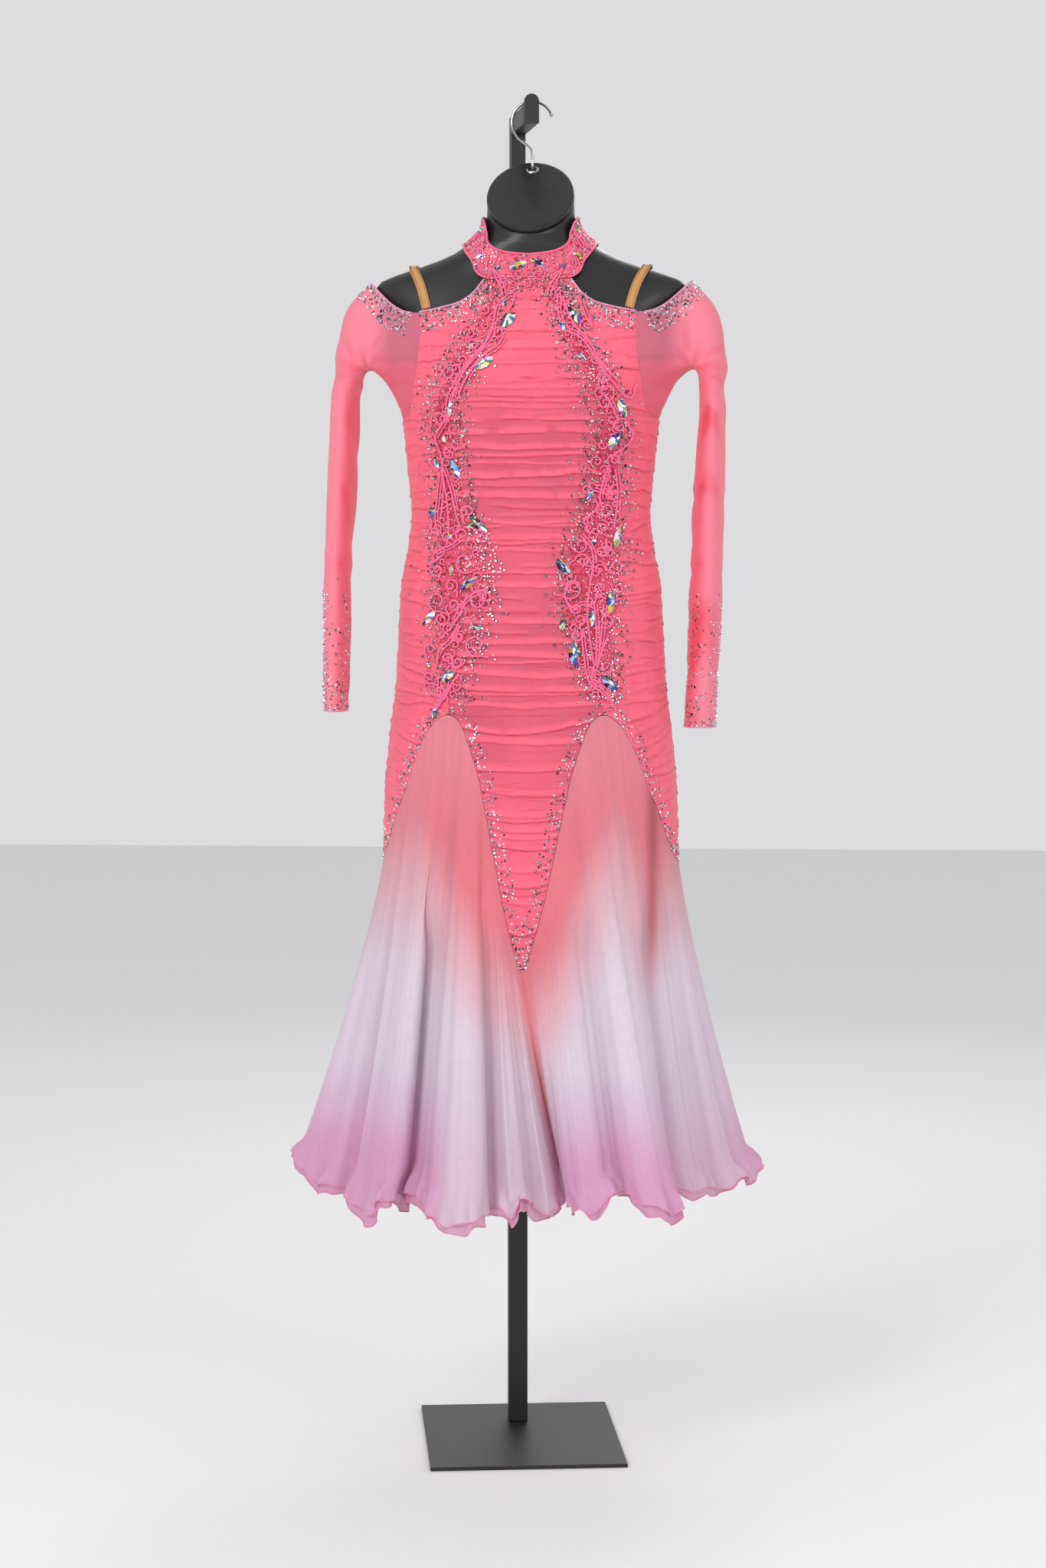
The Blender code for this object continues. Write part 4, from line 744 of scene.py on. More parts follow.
def navette_outline(length, width, sides=12):
    turn = np.arange(sides) * 2 * math.pi / sides
    return np.stack([np.cos(turn) * length / 2, np.sign(np.sin(turn)) * np.abs(np.sin(turn)) ** 1.2 * width / 2], -1)


# Facet tones of the stones and beads. Each facet takes one at random, so the lightest tones are painted glints and the
# darkest are painted dark reflections; the middle tones are the stones' own colour, and the aurora blues, greens,
# yellows and violets are its coating.
SILVER_AND_GLINT_TONES = [rgb(*t) for t in (
    (246, 246, 252), (196, 198, 210), (104, 106, 120), (36, 36, 46), (236, 226, 232), (150, 154, 168))]
BERRY_AND_GLINT_TONES = [rgb(*t) for t in ((206, 12, 66), (170, 4, 48), (244, 70, 124), (140, 6, 38), (255, 140, 176))]
PINK_AND_GLINT_TONES = [rgb(*t) for t in ((244, 190, 210), (255, 226, 238), (206, 110, 146), (150, 60, 96))]
AURORA_AND_GLINT_TONES = [rgb(*t) for t in (
    (60, 86, 190), (255, 255, 255), (252, 246, 170), (40, 150, 170), (255, 255, 255), (34, 34, 80),
    (226, 200, 80), (160, 214, 255), (80, 150, 90), (150, 110, 200))]


def stone(trim, place, normal, diameter, tones, sides=6):
    # five tones for the facets of this stone: its colour with painted glints and dark reflections
    picked = [tones[k] for k in rng.integers(0, len(tones), 5)]
    sunk = np.asarray(place) - np.asarray(normal) * 0.0003
    trim.gem(sunk, np.asarray(normal), rng.uniform(0, 6.28), round_outline(diameter, sides), diameter * 0.42, 0.55, picked)


def tree_of(*pieces):
    points = []
    faces = []
    for piece in pieces:
        start = len(points)
        points += [v.co.copy() for v in piece.data.vertices]
        faces += [[start + v for v in p.vertices] for p in piece.data.polygons]
    return BVHTree.FromPolygons(points, faces)


def hang(piece, slot, *nodes):
    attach(piece, "hanging")
    if nodes:
        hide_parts(*nodes)
    return piece


# ---------------------------------------------------------------- ruched panels
def gathers(bearing, share, z, rows, folds, wander, seed):
    """Height, doubling and painted crease shade of gathered cloth: shingled tucks with a crisp lower edge and a
    painted shadow line under it.
    """
    height, doubled, crease_shade = (np.zeros_like(z) for _ in range(3))
    for k, (edge, depth, width, sag, tilt, whole) in enumerate(folds):
        near = np.nonzero(np.abs(rows - edge) < 0.045)[0]
        if not len(near):
            continue
        near = slice(near[0], near[-1] + 1)
        b, u, level = bearing[near] / 20, share[near], z[near]
        drift = value_noise(b * 1.1 + 3.1 * k, 0 * b + 0.37 * k, seed) * wander
        drift = drift + value_noise(b * 4.3 + 1.7 * k, 0 * b + 0.61 * k, seed + 3) * wander * 0.35
        start = edge + drift - sag * (1 - (2 * u - 1) ** 2) + tilt * (2 * u - 1)
        t = (level - start) / width
        rise = smooth(-0.03, 0.10, t)
        fall = np.clip(1 - t, 0, 1) ** 1.3
        presence = smooth(-0.5, 0.1, value_noise(b * 2.3 + 7.3 * k, 0 * b + 0.9 * k, seed + 1) + 0.5 * whole)
        presence = presence * (0.82 + 0.18 * value_noise(b * 9 + k, 0 * b, seed + 4))
        crimp = 1 + (0.18 + 0.30 * (k % 5 == 0)) * value_noise(b * 26 + 5 * k, t * 2.2, seed + 2)
        height[near] = np.maximum(height[near], depth * rise * fall * presence * crimp)
        doubled[near] = np.maximum(doubled[near], rise * smooth(0.95, 0.30, t) * presence * max(whole, 0.12))
        # painted shadow: a dark line just under the lower edge of each tuck
        line = np.exp(-(((level - start) + 0.0004) / 0.00105) ** 2)
        crease_shade[near] = np.maximum(crease_shade[near], line * presence * (0.62 + 0.38 * math.sin(k * 2.4)) * (0.62 + 0.38 * whole))
    return height, doubled, crease_shade


def panel_cloth(rows, low, high, columns, turned, folds, wander, seed, brightness, slant=0.0):
    """One gathered panel from its edges and its tucks."""
    z = np.broadcast_to(rows[:, None], (len(rows), columns)).copy()
    share = np.broadcast_to(np.linspace(0, 1, columns)[None], z.shape)
    bearing = low[:, None] + (high - low)[:, None] * share
    level = z + slant * smooth(1.25, 1.02, z) * (share - 0.5)
    height, doubled, crease_shade = gathers(bearing, share, level, rows, folds, wander, seed)
    fade = smooth(1.519, 1.500, z) * smooth(0.0, 0.03, share + 0.015) * smooth(1.0, 0.97, share - 0.015)
    ripple = value_noise(bearing / 9.0, level * 90, seed + 5) * 0.0003
    points = body(turned(bearing), z, (height + ripple) * (0.25 + 0.75 * fade))
    light = np.interp(z, *brightness) + 0.16 * value_noise(bearing / 11, z * 14, seed + 7)
    tint = blend_colours(CORAL_DULL, CORAL, np.clip(light, 0, 1))
    tint = blend_colours(tint, CORAL, np.clip(doubled, 0, 1))
    shade = value_noise(bearing / 3.0, level * 160, seed + 9)
    tint = blend_colours(tint, CORAL_DEEP, 0.10 + 0.10 * shade)
    seam = np.abs(np.sin(np.radians(bearing)) - np.sin(np.radians(princess(z)))) * sizes_at(z)[0]
    filled = smooth(1.0, 0.55, seam / np.interp(z, *FILL_WIDTHS)) * smooth(0.975, 0.99, z)
    filled = filled * np.clip(0.75 + 0.5 * value_noise(bearing * 1.1, z * 170, seed + 12), 0, 1)
    tint = blend_colours(tint, BEADED, 0.72 * filled)
    # painted shade: the dark crease line under each tuck, weaker where the gathers fade out
    tint = blend_colours(tint, CORAL_CREASE_SHADE, 0.86 * crease_shade * (0.4 + 0.6 * fade))
    return points, tint


def wrinkles(top, bottom, count, seed):
    generator = np.random.default_rng(seed)
    return [
        (generator.uniform(bottom, top), generator.uniform(0.0004, 0.0009), generator.uniform(0.003, 0.006),
         generator.uniform(-0.003, 0.003), generator.uniform(-0.006, 0.006), -0.55) for _ in range(count)]


def front_folds(seed):
    generator = np.random.default_rng(seed)
    made = []
    for k, edge in enumerate(FOLDS):
        gap = (FOLDS[k - 1] if k else 1.509) - edge
        width = float(np.clip(gap * generator.uniform(0.55, 0.95), 0.005, 0.013))
        sag = generator.uniform(-0.001, 0.0025) if edge > 1.03 else 0.005
        tilt = generator.uniform(-0.0018, 0.0018)
        depth = min(max(width * 0.20, 0.0012), 0.0027)
        if edge == 0.9560:
            width, depth, sag, tilt = 0.011, 0.0030, 0.010, 0.003
        made.append((edge, depth, width, sag, tilt, 1.0 if generator.random() < 0.6 or edge < 1.03 else 0.45))
    return made + wrinkles(1.50, 0.67, 110, seed + 1)


def random_folds(top, bottom, seed, gap=(0.009, 0.021), thin=80):
    generator = np.random.default_rng(seed)
    made = []
    z = top - 0.006
    while z > bottom:
        made.append((
            z, generator.uniform(0.0012, 0.0026), generator.uniform(0.006, 0.012), generator.uniform(-0.002, 0.003),
            generator.uniform(-0.004, 0.004), 0.7))
        z -= generator.uniform(*gap)
    return made + wrinkles(top, bottom, thin, seed + 1)


FILL_WIDTHS = (
    (0.98, 1.04, 1.11, 1.16, 1.21, 1.26, 1.32, 1.38, 1.44, 1.50), (0.007, 0.022, 0.036, 0.038, 0.026, 0.014, 0.016, 0.014, 0.014, 0.009))
BEADED = rgb(204, 44, 92)
FRONT_BRIGHT = ((0.70, 0.80, 0.93, 1.0, 1.15, 1.30, 1.38, 1.45), (0.70, 0.55, 0.20, 0.0, 0.22, 0.05, 0.50, 0.90))
SIDE_BRIGHT = ((0.80, 1.0, 1.2, 1.5), (0.85, 0.72, 0.70, 0.95))


def make_panels():
    made = {}
    rows = np.linspace(1.5215, 0.6506, 640)
    edge = princess(rows)
    points, tint = panel_cloth(rows, -edge, edge, 42, lambda b: b, front_folds(3), 0.0026, 11, FRONT_BRIGHT)
    made["front_centre"] = cloth("front_centre", points, "ruched", tint)
    side_rows = np.linspace(1.5195, 0.7765, 480)
    for side, word in ((-1, "left"), (1, "right")):
        low, high = side_low(side_rows), outer_edge(side_rows)
        for back, place in ((False, "front"), (True, "back")):
            name = f"{place}_side_{word}"
            seed = 20 + 3 * side + (10 if back else 0)
            turned = (lambda b, s=side: s * (180 - b)) if back else (lambda b, s=side: s * b)
            points, tint = panel_cloth(
                side_rows, low, high, 26, turned, random_folds(1.51, 0.79, seed), 0.0045, seed, SIDE_BRIGHT, -0.020)
            made[name] = cloth(name, points, "ruched", tint, (side < 0) != back)
        back_rows = np.linspace(1.5195, 0.6506, 540)
        edge = princess(back_rows)
        inset = 0.0002 + 0.0034 * smooth(1.026, 1.033, back_rows) * smooth(1.508, 1.502, back_rows)
        inset = np.minimum(inset, 0.4 * edge * girth(180.0, back_rows))
        name = f"back_centre_{word}"
        points, tint = panel_cloth(
            back_rows, inset / girth(180.0, back_rows), edge, 20, lambda b, s=side: s * (180 - b),
            random_folds(1.51, 0.67, 60 + side, (0.011, 0.023), 60), 0.0018, 61 + side, FRONT_BRIGHT)
        made[name] = cloth(name, points, "ruched", tint, side > 0)
    for name, piece in made.items():
        hang(piece, "ruched_mesh", name)
        piece.name = f"ruched_{name}"
    return made


# ---------------------------------------------------------------- sleeves
def sleeve_cloth(side):
    """The raglan sleeve as a subdivided cage that closes to a tube below the arm."""
    seams = {}
    for way in (-1, 1):
        line = []
        for i in range(4, 12):
            z, _, outer = BODICE[i]
            inset = 0.0 if outer == 90.0 else 0.0028 / float(girth(outer, z))
            bearing = outer - inset
            rise = 0.0 if z > 1.36 else -0.0045
            point = body(side * (bearing if way < 0 else 180 - bearing), z + rise, -0.0009)
            line.append(Vector(point))
        seams[way] = line
    points = []

    def add(point):
        points.append(Vector(point))
        return len(points) - 1

    last = len(SLEEVE_TOP)
    upper = []
    for v in (0.0, 0.25, 0.5, 0.75, 1.0):
        row = []
        for way, order in ((-1, range(0, last + 1)), (1, range(last - 1, -1, -1))):
            for k in order:
                if k == 0:
                    whole = min(int(2 * v), 1)
                    row.append(add(seams[way][whole].lerp(seams[way][whole + 1], 2 * v - whole)))
                    continue
                x, z, depth = SLEEVE_TOP[k - 1]
                top = Vector((side * x, way * depth, z))
                x, z, depth = UNDERARM_LINE[k - 1]
                spot = top.lerp(Vector((side * x, way * depth, z)), v)
                bulge = 0.019 * BULGE_SHARE[k - 1] * math.sin(math.pi * v ** 0.6)
                row.append(add(spot + Vector((side * bulge, 0, 0))))
        upper.append(row)
    faces = []

    def join(first, second, closed=False):
        count = len(first)
        for j in range(count if closed else count - 1):
            n = (j + 1) % count
            quad = (first[j], second[j], second[n], first[n])
            faces.append(quad if side > 0 else quad[::-1])

    for a, b in zip(upper, upper[1:]):
        join(a, b)
    front_arm = 4
    back_arm = 2 * last - 4
    middle = upper[-1]
    x, z, depth = UNDERARM_LINE[front_arm - 1]
    crotch = [add((side * (x - 0.0015), y, z - 0.0005)) for y in (-depth / 2, 0.0, depth / 2)]
    web = [middle[:front_arm + 1] + crotch + middle[back_arm:]]
    for seam_step, x, z, depth in WEB:
        halves = []
        for way in (-1, 1):
            start = seams[way][2 + seam_step]
            corner = Vector((side * x, way * depth, z))
            halves.append([add(start.lerp(corner, k / front_arm)) for k in range(front_arm + 1)])
        fold = [add((side * (x + 0.0012), y, z)) for y in (-depth / 2, 0.0, depth / 2)]
        web.append(halves[0] + fold + halves[1][::-1])
    halves = []
    for way in (-1, 1):
        a, b, c = seams[way][5:8]
        halves.append([a, a.lerp(b, 0.5), b, b.lerp(c, 0.3), b.lerp(c, 0.6)])
    side_point = seams[-1][7]
    ends = [halves[0][-1].lerp(side_point, 0.5), side_point, halves[1][-1].lerp(side_point, 0.5)]
    web.append([add(p) for p in halves[0] + ends + halves[1][::-1]])
    for a, b in zip(web, web[1:]):
        join(a, b)
    tube = [middle[front_arm:back_arm + 1] + crotch[::-1]]
    columns = (1, 2) if side < 0 else (3, 4)
    sections = [(row[0], row[columns[0]], row[columns[1]], row[5]) for row in ARM] + [CUFF[side]]
    for z, centre, half, depth in sections:
        loop = []
        for j in range(10):
            turn = math.radians(-126.0 + 36.0 * j)
            loop.append(add((side * (centre + 1.06 * half * math.cos(turn)), 1.05 * depth * math.sin(turn), z)))
        tube.append(loop)
    for a, b in zip(tube, tube[1:]):
        join(a, b, closed=True)

    mesh = bpy.data.meshes.new("sleeve cage")
    mesh.from_pydata([tuple(p) for p in points], [], faces)
    cage = bpy.data.objects.new("sleeve cage", mesh)
    bpy.context.scene.collection.objects.link(cage)
    rounding = cage.modifiers.new("Smooth", "SUBSURF")
    rounding.levels = 3
    rounding.render_levels = 3
    rounding.boundary_smooth = "PRESERVE_CORNERS"
    bpy.context.view_layer.update()
    fine = bpy.data.meshes.new_from_object(cage.evaluated_get(bpy.context.evaluated_depsgraph_get()))
    bpy.data.objects.remove(cage)
    count = len(fine.vertices)
    spots = np.empty(count * 3)
    fine.vertices.foreach_get("co", spots)
    spots = spots.reshape(-1, 3)
    normals = np.empty(count * 3)
    fine.vertices.foreach_get("normal", normals)
    normals = normals.reshape(-1, 3)
    faces = [list(p.vertices) for p in fine.polygons]
    bpy.data.meshes.remove(fine)
    return spots, normals, faces


def make_sleeves():
    made = {}
    for side, word in ((-1, "left"), (1, "right")):
        spots, normals, faces = sleeve_cloth(side)
        x, y, z = side * spots[:, 0], spots[:, 1], spots[:, 2]
        under = np.array([0.206, 1.408])
        away = np.hypot(x - under[0], z - under[1])
        angle = np.arctan2(z - under[1], x - under[0])
        pull = smooth(0.12, 0.02, away) * smooth(0.006, 0.03, away)
        wave = np.sin(angle * 6 + value_noise(away * 22, y * 10, 5 + side) * 2.6 + (0.8 if side > 0 else 0))
        star = pull * wave * 0.0016
        tube = smooth(1.40, 1.34, z) * smooth(0.19, 0.205, x)
        centre = np.interp(z, [row[0] for row in ARM][::-1], [row[1 if side < 0 else 3] for row in ARM][::-1])
        # inner side of the sleeve tube, towards the body: deeper creases, and painted shade in the tint below
        inner = smooth(0.004, -0.014, x - centre) * tube
        long_wave = np.sin(z * 60 + value_noise(z * 22, y * 14, 9 + side) * 3.2 + y * 60)
        long_fold = value_noise(z * 9 + 3, y * 55 + z * 12, 17 + side)
        creases = tube * (0.0011 * long_wave * (0.4 + 0.6 * inner) + 0.0016 * long_fold)
        gather = smooth(1.48, 1.455, z) * smooth(0.185, 0.160, x) * (1 - tube)
        tucks = gather * 0.0004 * np.sin(z * 420 + value_noise(z * 20, y * 20, 31) * 2)
        lift = star + creases + tucks
        rim = smooth(0.0, 0.006, z - CUFF[side][0])
        spots = spots + normals * (lift * (0.3 + 0.7 * rim))[:, None]
        over_form = smooth(0.196, 0.172, x) * smooth(1.372, 1.40, z)
        # painted shade: the tint deepens in the fold valleys and on the inner side of the sleeve tube, towards the
        # body
        fold = smooth(-0.0006, -0.0022, lift) * (1 - over_form)
        tint = np.broadcast_to(SHEER, spots.shape).copy()
        tint = blend_colours(tint, SHEER_DUSKY, over_form * 0.9)
        tint = blend_colours(tint, CORAL_DEEP, np.clip(0.45 * fold + 0.45 * inner, 0, 0.8))
        # painted shade in the hollow under the arm, stronger along the star folds
        underarm_shade = smooth(0.055, 0.012, away) * smooth(1.46, 1.41, z)
        tint = blend_colours(tint, CORAL_DEEP, 0.45 * underarm_shade * (0.6 + 0.4 * wave))
        web = smooth(1.425, 1.40, z) * smooth(0.205, 0.19, x)
        tint = blend_colours(tint, CORAL, 0.7 * web)
        uv = np.stack([np.arctan2(y, x - centre) * 0.03 + x * 0.4, z], -1)
        piece = build(f"sleeve_{word}", spots, faces, "sheer", tint, uv)
        hang(piece, "sheer_mesh", f"sleeve_{word}")
        piece.name = f"sheer_sleeve_{word}"
        made[word] = piece
    return made


# ---------------------------------------------------------------- skirt
def hem_line(name, shares):
    fine = np.linspace(0, 1, 1001)
    folds = catmull(HEM[name], fine)
    spread = np.exp(-(np.arange(-30, 31) / 12.0) ** 2)
    padded = np.vstack([2 * folds[:1] - folds[30:0:-1], folds, 2 * folds[-1:] - folds[-2:-32:-1]])
    folds = np.stack([np.convolve(column, spread / spread.sum(), "valid") for column in padded.T])
    bearing, radius, height = [np.interp(shares, fine, column) for column in folds]
    out = np.zeros_like(radius)
    up = np.zeros_like(radius)
    for centre, width, push, rise in CURLS[name]:
        bump = np.exp(-(((bearing - centre) / width) ** 2))
        out += push * bump
        up += rise * bump
    return bearing, radius, height, out, up


def clear_of_form(grid, inset):
    """Cloth pushed out to the body surface where it would hang inside it."""
    half, front, back_depth = sizes_at(grid[..., 2])
    depth = np.where(grid[..., 1] < 0, front, back_depth)
    size = np.hypot(grid[..., 0] / (half - inset), grid[..., 1] / (depth - inset))
    push = 1 + (1 / np.clip(size, 0.2, 1) - 1) * smooth(0.66, 0.785, grid[..., 2])
    return np.stack([grid[..., 0] * push, grid[..., 1] * push, grid[..., 2]], -1)


def godet_grid(name, columns, rows, sink=0.0, reach=1.0, seed=0):
    """A godet from its arch out to its hem, with soft creases that deepen downwards."""
    side = -1 if name.endswith("left") else 1
    back = "back" in name
    shares = np.linspace(0, 1, columns)
    top_bearing, top_z = catmull([(s, *row) for s, row in zip(ARCH_SHARES, ARCH)], shares).T
    top_bearing = (top_bearing + (42.0 - top_bearing) * 0.004) * smooth(1.0, 0.975, shares)
    top_bearing = 90.0 + (top_bearing - 90.0) * smooth(0.0, 0.02, shares)
    top_z = top_z - 0.0008
    turned = 180.0 - top_bearing if back else top_bearing
    top, top_normal = body(side * turned, top_z, 0.0003 - sink * 0.5, True)
    bearing, radius, height, out, up = hem_line(name, shares)
    angle = np.radians(bearing)
    down = np.linspace(0, 1, rows) ** 0.92 * reach
    lip = smooth(0.90, 1.0, down)[:, None]
    radius = radius[None] + out[None] * lip + 0.004 * np.clip(lip - 0.5, 0, 1)
    x = radius * np.sin(angle)[None]
    y = -radius * np.cos(angle)[None]
    z = height[None] + up[None] * lip
    grow = (down ** 1.2)[:, None]
    grid = np.stack([
        top[None, :, 0] + (x - top[None, :, 0]) * grow,
        top[None, :, 1] + (y - top[None, :, 1]) * grow,
        top[None, :, 2] + (z - top[None, :, 2]) * down[:, None]], -1)
    grid = clear_of_form(grid, 0.0)
    normal = normals_of(grid)
    if (side < 0) == back:
        normal = -normal
    walk = np.cumsum(np.concatenate([[0], np.linalg.norm(np.diff(grid[-1], axis=0), axis=1)]))
    length = walk[None] * (0.35 + 0.65 * down[:, None])
    ripple = value_noise(walk[None] * 38 + 0 * length, down[:, None] * 1.6 + 0 * length, 70 + seed) * 0.0028
    ripple += value_noise(walk[None] * 95 + 0 * length, down[:, None] * 1.2 + 0 * length, 80 + seed) * 0.0010
    flute = np.sin(walk * 2 * math.pi / 0.030 + 2.5 * value_noise(walk * 9, walk * 0, 90 + seed))[None]
    flute = flute * smooth(0.93, 1.0, down)[:, None] * 0.0024
    waves = np.sin(walk * 2 * math.pi / 0.048 + 3 * value_noise(walk * 7, walk * 0, 95 + seed))[None]
    waves = waves * smooth(0.95, 1.0, down)[:, None] * smooth(0, 0.03, shares)[None] * smooth(1, 0.97, shares)[None]
    grid[..., 2] += waves * 0.0026
    fade = smooth(0.02, 0.45, down)[:, None] * smooth(0, 0.03, shares)[None] * smooth(1, 0.97, shares)[None]
    grid = grid + normal * (ripple * fade + flute * fade - sink)[..., None]
    return clear_of_form(grid, 0.0012 + sink), down, shares


def godet_tint(name, grid, down, shares, under=False):
    """Coral at the arch, white through the middle, lilac pink at the hem, with painted shade in the fold valleys and a
    painted fold shadow.
    """
    x, y, z = grid[..., 0], grid[..., 1], grid[..., 2]
    middles = (-0.26, -0.19, -0.135, -0.097, -0.058, -0.019, 0.010, 0.039, 0.078, 0.116, 0.155, 0.194, 0.26)
    heights = (0.765, 0.765, 0.77, 0.705, 0.630, 0.600, 0.560, 0.610, 0.720, 0.775, 0.700, 0.735, 0.76)
    middle = np.interp(x, middles, heights)
    if "back" in name:
        middle = 0.68 + 0.05 * np.sin(x * 38)
    low = z + value_noise(x * 16, z * 5, 33) * 0.020
    colour = np.broadcast_to(rgb(250, 150, 162), grid.shape).copy()
    colour = blend_colours(colour, rgb(246, 136, 148), smooth(0.94, 0.80, z) * smooth(middle - 0.02, middle + 0.06, low))
    colour = blend_colours(colour, rgb(242, 186, 198), smooth(middle + 0.115, middle - 0.015, low))
    colour = blend_colours(colour, rgb(240, 228, 240), smooth(middle + 0.035, middle - 0.135, low))
    colour = blend_colours(colour, rgb(238, 214, 234), smooth(0.54, 0.47, low))
    colour = blend_colours(colour, rgb(238, 184, 218), smooth(0.49, 0.38, low))
    azimuth = np.degrees(np.arctan2(x, -y))
    pale = smooth(-31, -22, azimuth) * smooth(22, 12, azimuth) + 0.8 * smooth(60, 72, azimuth) * smooth(104, 88, azimuth)
    pale = np.clip(pale, 0, 1) * smooth(0.60, 0.50, low)
    colour = blend_colours(colour, rgb(238, 222, 234), 0.85 * pale)
    seam = np.exp(-((shares - 1) / 0.03) ** 2)[None] * smooth(0.95, 0.5, down)[:, None]
    colour = blend_colours(colour, rgb(238, 130, 140), 0.85 * seam + 0 * x)
    # painted shade: the colour darkens in the fold valleys, where the hem swings inwards
    radius = np.hypot(x, y)
    mean = np.convolve(np.pad(radius[-1], 20, mode="edge"), np.ones(41) / 41, "valid")[None]
    valley_shade = smooth(0.002, -0.026, radius[-1][None] - mean) * smooth(0.15, 0.6, down)[:, None]
    colour = blend_colours(colour, colour * np.array([0.66, 0.46, 0.52]), 0.34 * valley_shade)
    # painted shadow of a deep fold on the right front, between heights 0.60 and 0.95
    fold_shadow_streak = np.exp(-((x - 0.160) / 0.008) ** 2) * smooth(0.60, 0.72, z) * smooth(0.95, 0.88, z) * (y < 0)
    colour = blend_colours(colour, rgb(196, 84, 96), 0.75 * fold_shadow_streak)
    strands = value_noise(shares[None] * 130 + 0 * x, z * 2, 47)
    colour = colour * (1 + 0.035 * strands[..., None])
    if under:
        colour = blend_colours(colour, rgb(222, 132, 180), 0.6 * smooth(0.50, 0.37, z) + 0.05)
    return colour


def make_skirt():
    made = {}
    for number, name in enumerate(HEM):
        side = -1 if name.endswith("left") else 1
        flip = (side < 0) == ("back" in name)
        grid, down, shares = godet_grid(name, 250, 72, 0.0, 1.0, number)
        tint = godet_tint(name, grid, down, shares)
        piece = cloth(name, grid, "organza", tint, flip)
        hang(piece, "ombre_organza", name)
        edge = Trim()
        edge.tube(grid[-1], 0.0010, 6)
        hem = hang(edge.piece(name.replace("godet", "hem"), "hem"), "ombre_organza")
        piece.name = f"organza_{name}"
        under_name = name.replace("godet", "under")
        inner, down, shares = godet_grid(name, 200, 40, 0.0042, 1.018, number)
        wobble = value_noise(np.linspace(0, 16, 200), np.zeros(200), 50 + number)
        inner[..., 2] += (wobble * 0.007)[None] * smooth(0.6, 1.0, down)[:, None]
        tint = godet_tint(name, inner, down, shares, True)
        under = cloth(under_name, inner, "organza", tint, flip)
        hang(under, "under_organza", under_name)
        edge = Trim()
        edge.tube(inner[-1], 0.0009, 5)
        under_hem = hang(edge.piece(under_name + "_hem", "hem"), "under_organza")
        under.name = f"organza_{under_name}"
        made[name] = (piece, hem)
        made[under_name] = (under, under_hem)
    return made


# ---------------------------------------------------------------- collar
def collar_point(t, s, lift):
    """A point of the collar: t round it from -1 to 1, s from its top edge to its lower edge."""
    t, s = np.broadcast_arrays(np.asarray(t, float), np.asarray(s, float))
    row = catmull([(k / (len(COLLAR) - 1), *r) for k, r in enumerate(COLLAR)], np.abs(t))
    bearing = np.sign(t) * (row[..., 2] + (row[..., 0] - row[..., 2]) * s)
    return body(bearing, row[..., 3] + (row[..., 1] - row[..., 3]) * s, lift, True)


def make_collar():
    t, s = np.meshgrid(np.linspace(-1, 1, 260), np.linspace(0, 1, 26))
    lift = 0.0008 + 0.0004 * value_noise(t * 60, s * 8, 44)
    grid, _ = collar_point(t, s, lift)
    tint = blend_colours(
        np.broadcast_to(rgb(240, 112, 130), grid.shape), rgb(206, 66, 100),
        np.clip(0.35 + 0.5 * value_noise(t * 50, s * 9, 45), 0, 1))
    piece = cloth("collar", grid, "ruched", tint)
    hang(piece, "beaded_applique", "collar")
    piece.name = "collar_band"
    return piece


# ---------------------------------------------------------------- cord work and stones
def on_bodice(x, z, back, lift):
    """Points over the bodice, from where they are seen from the front."""
    x = np.asarray(x, float)
    z = np.asarray(z, float)
    half = sizes_at(z)[0]
    bearing = np.degrees(np.arcsin(np.clip(x / half, -0.98, 0.98)))
    return body(180 - bearing if back else bearing, z, lift, True)


def scroll_line(x, z, radius, turns, start, way):
    t = np.linspace(0, 1, int(16 * turns) + 8)
    r = radius * (1 - 0.80 * t)
    turn = start + way * 2 * math.pi * turns * t
    return x + r * np.cos(turn), z + r * np.sin(turn)


def smooth_path(points, step=0.0030):
    points = np.asarray(points, float)
    rows = [(k / (len(points) - 1), *p) for k, p in enumerate(points)]
    length = np.linalg.norm(np.diff(points, axis=0), axis=1).sum()
    return catmull(rows, np.linspace(0, 1, max(int(length / step), 6))).T


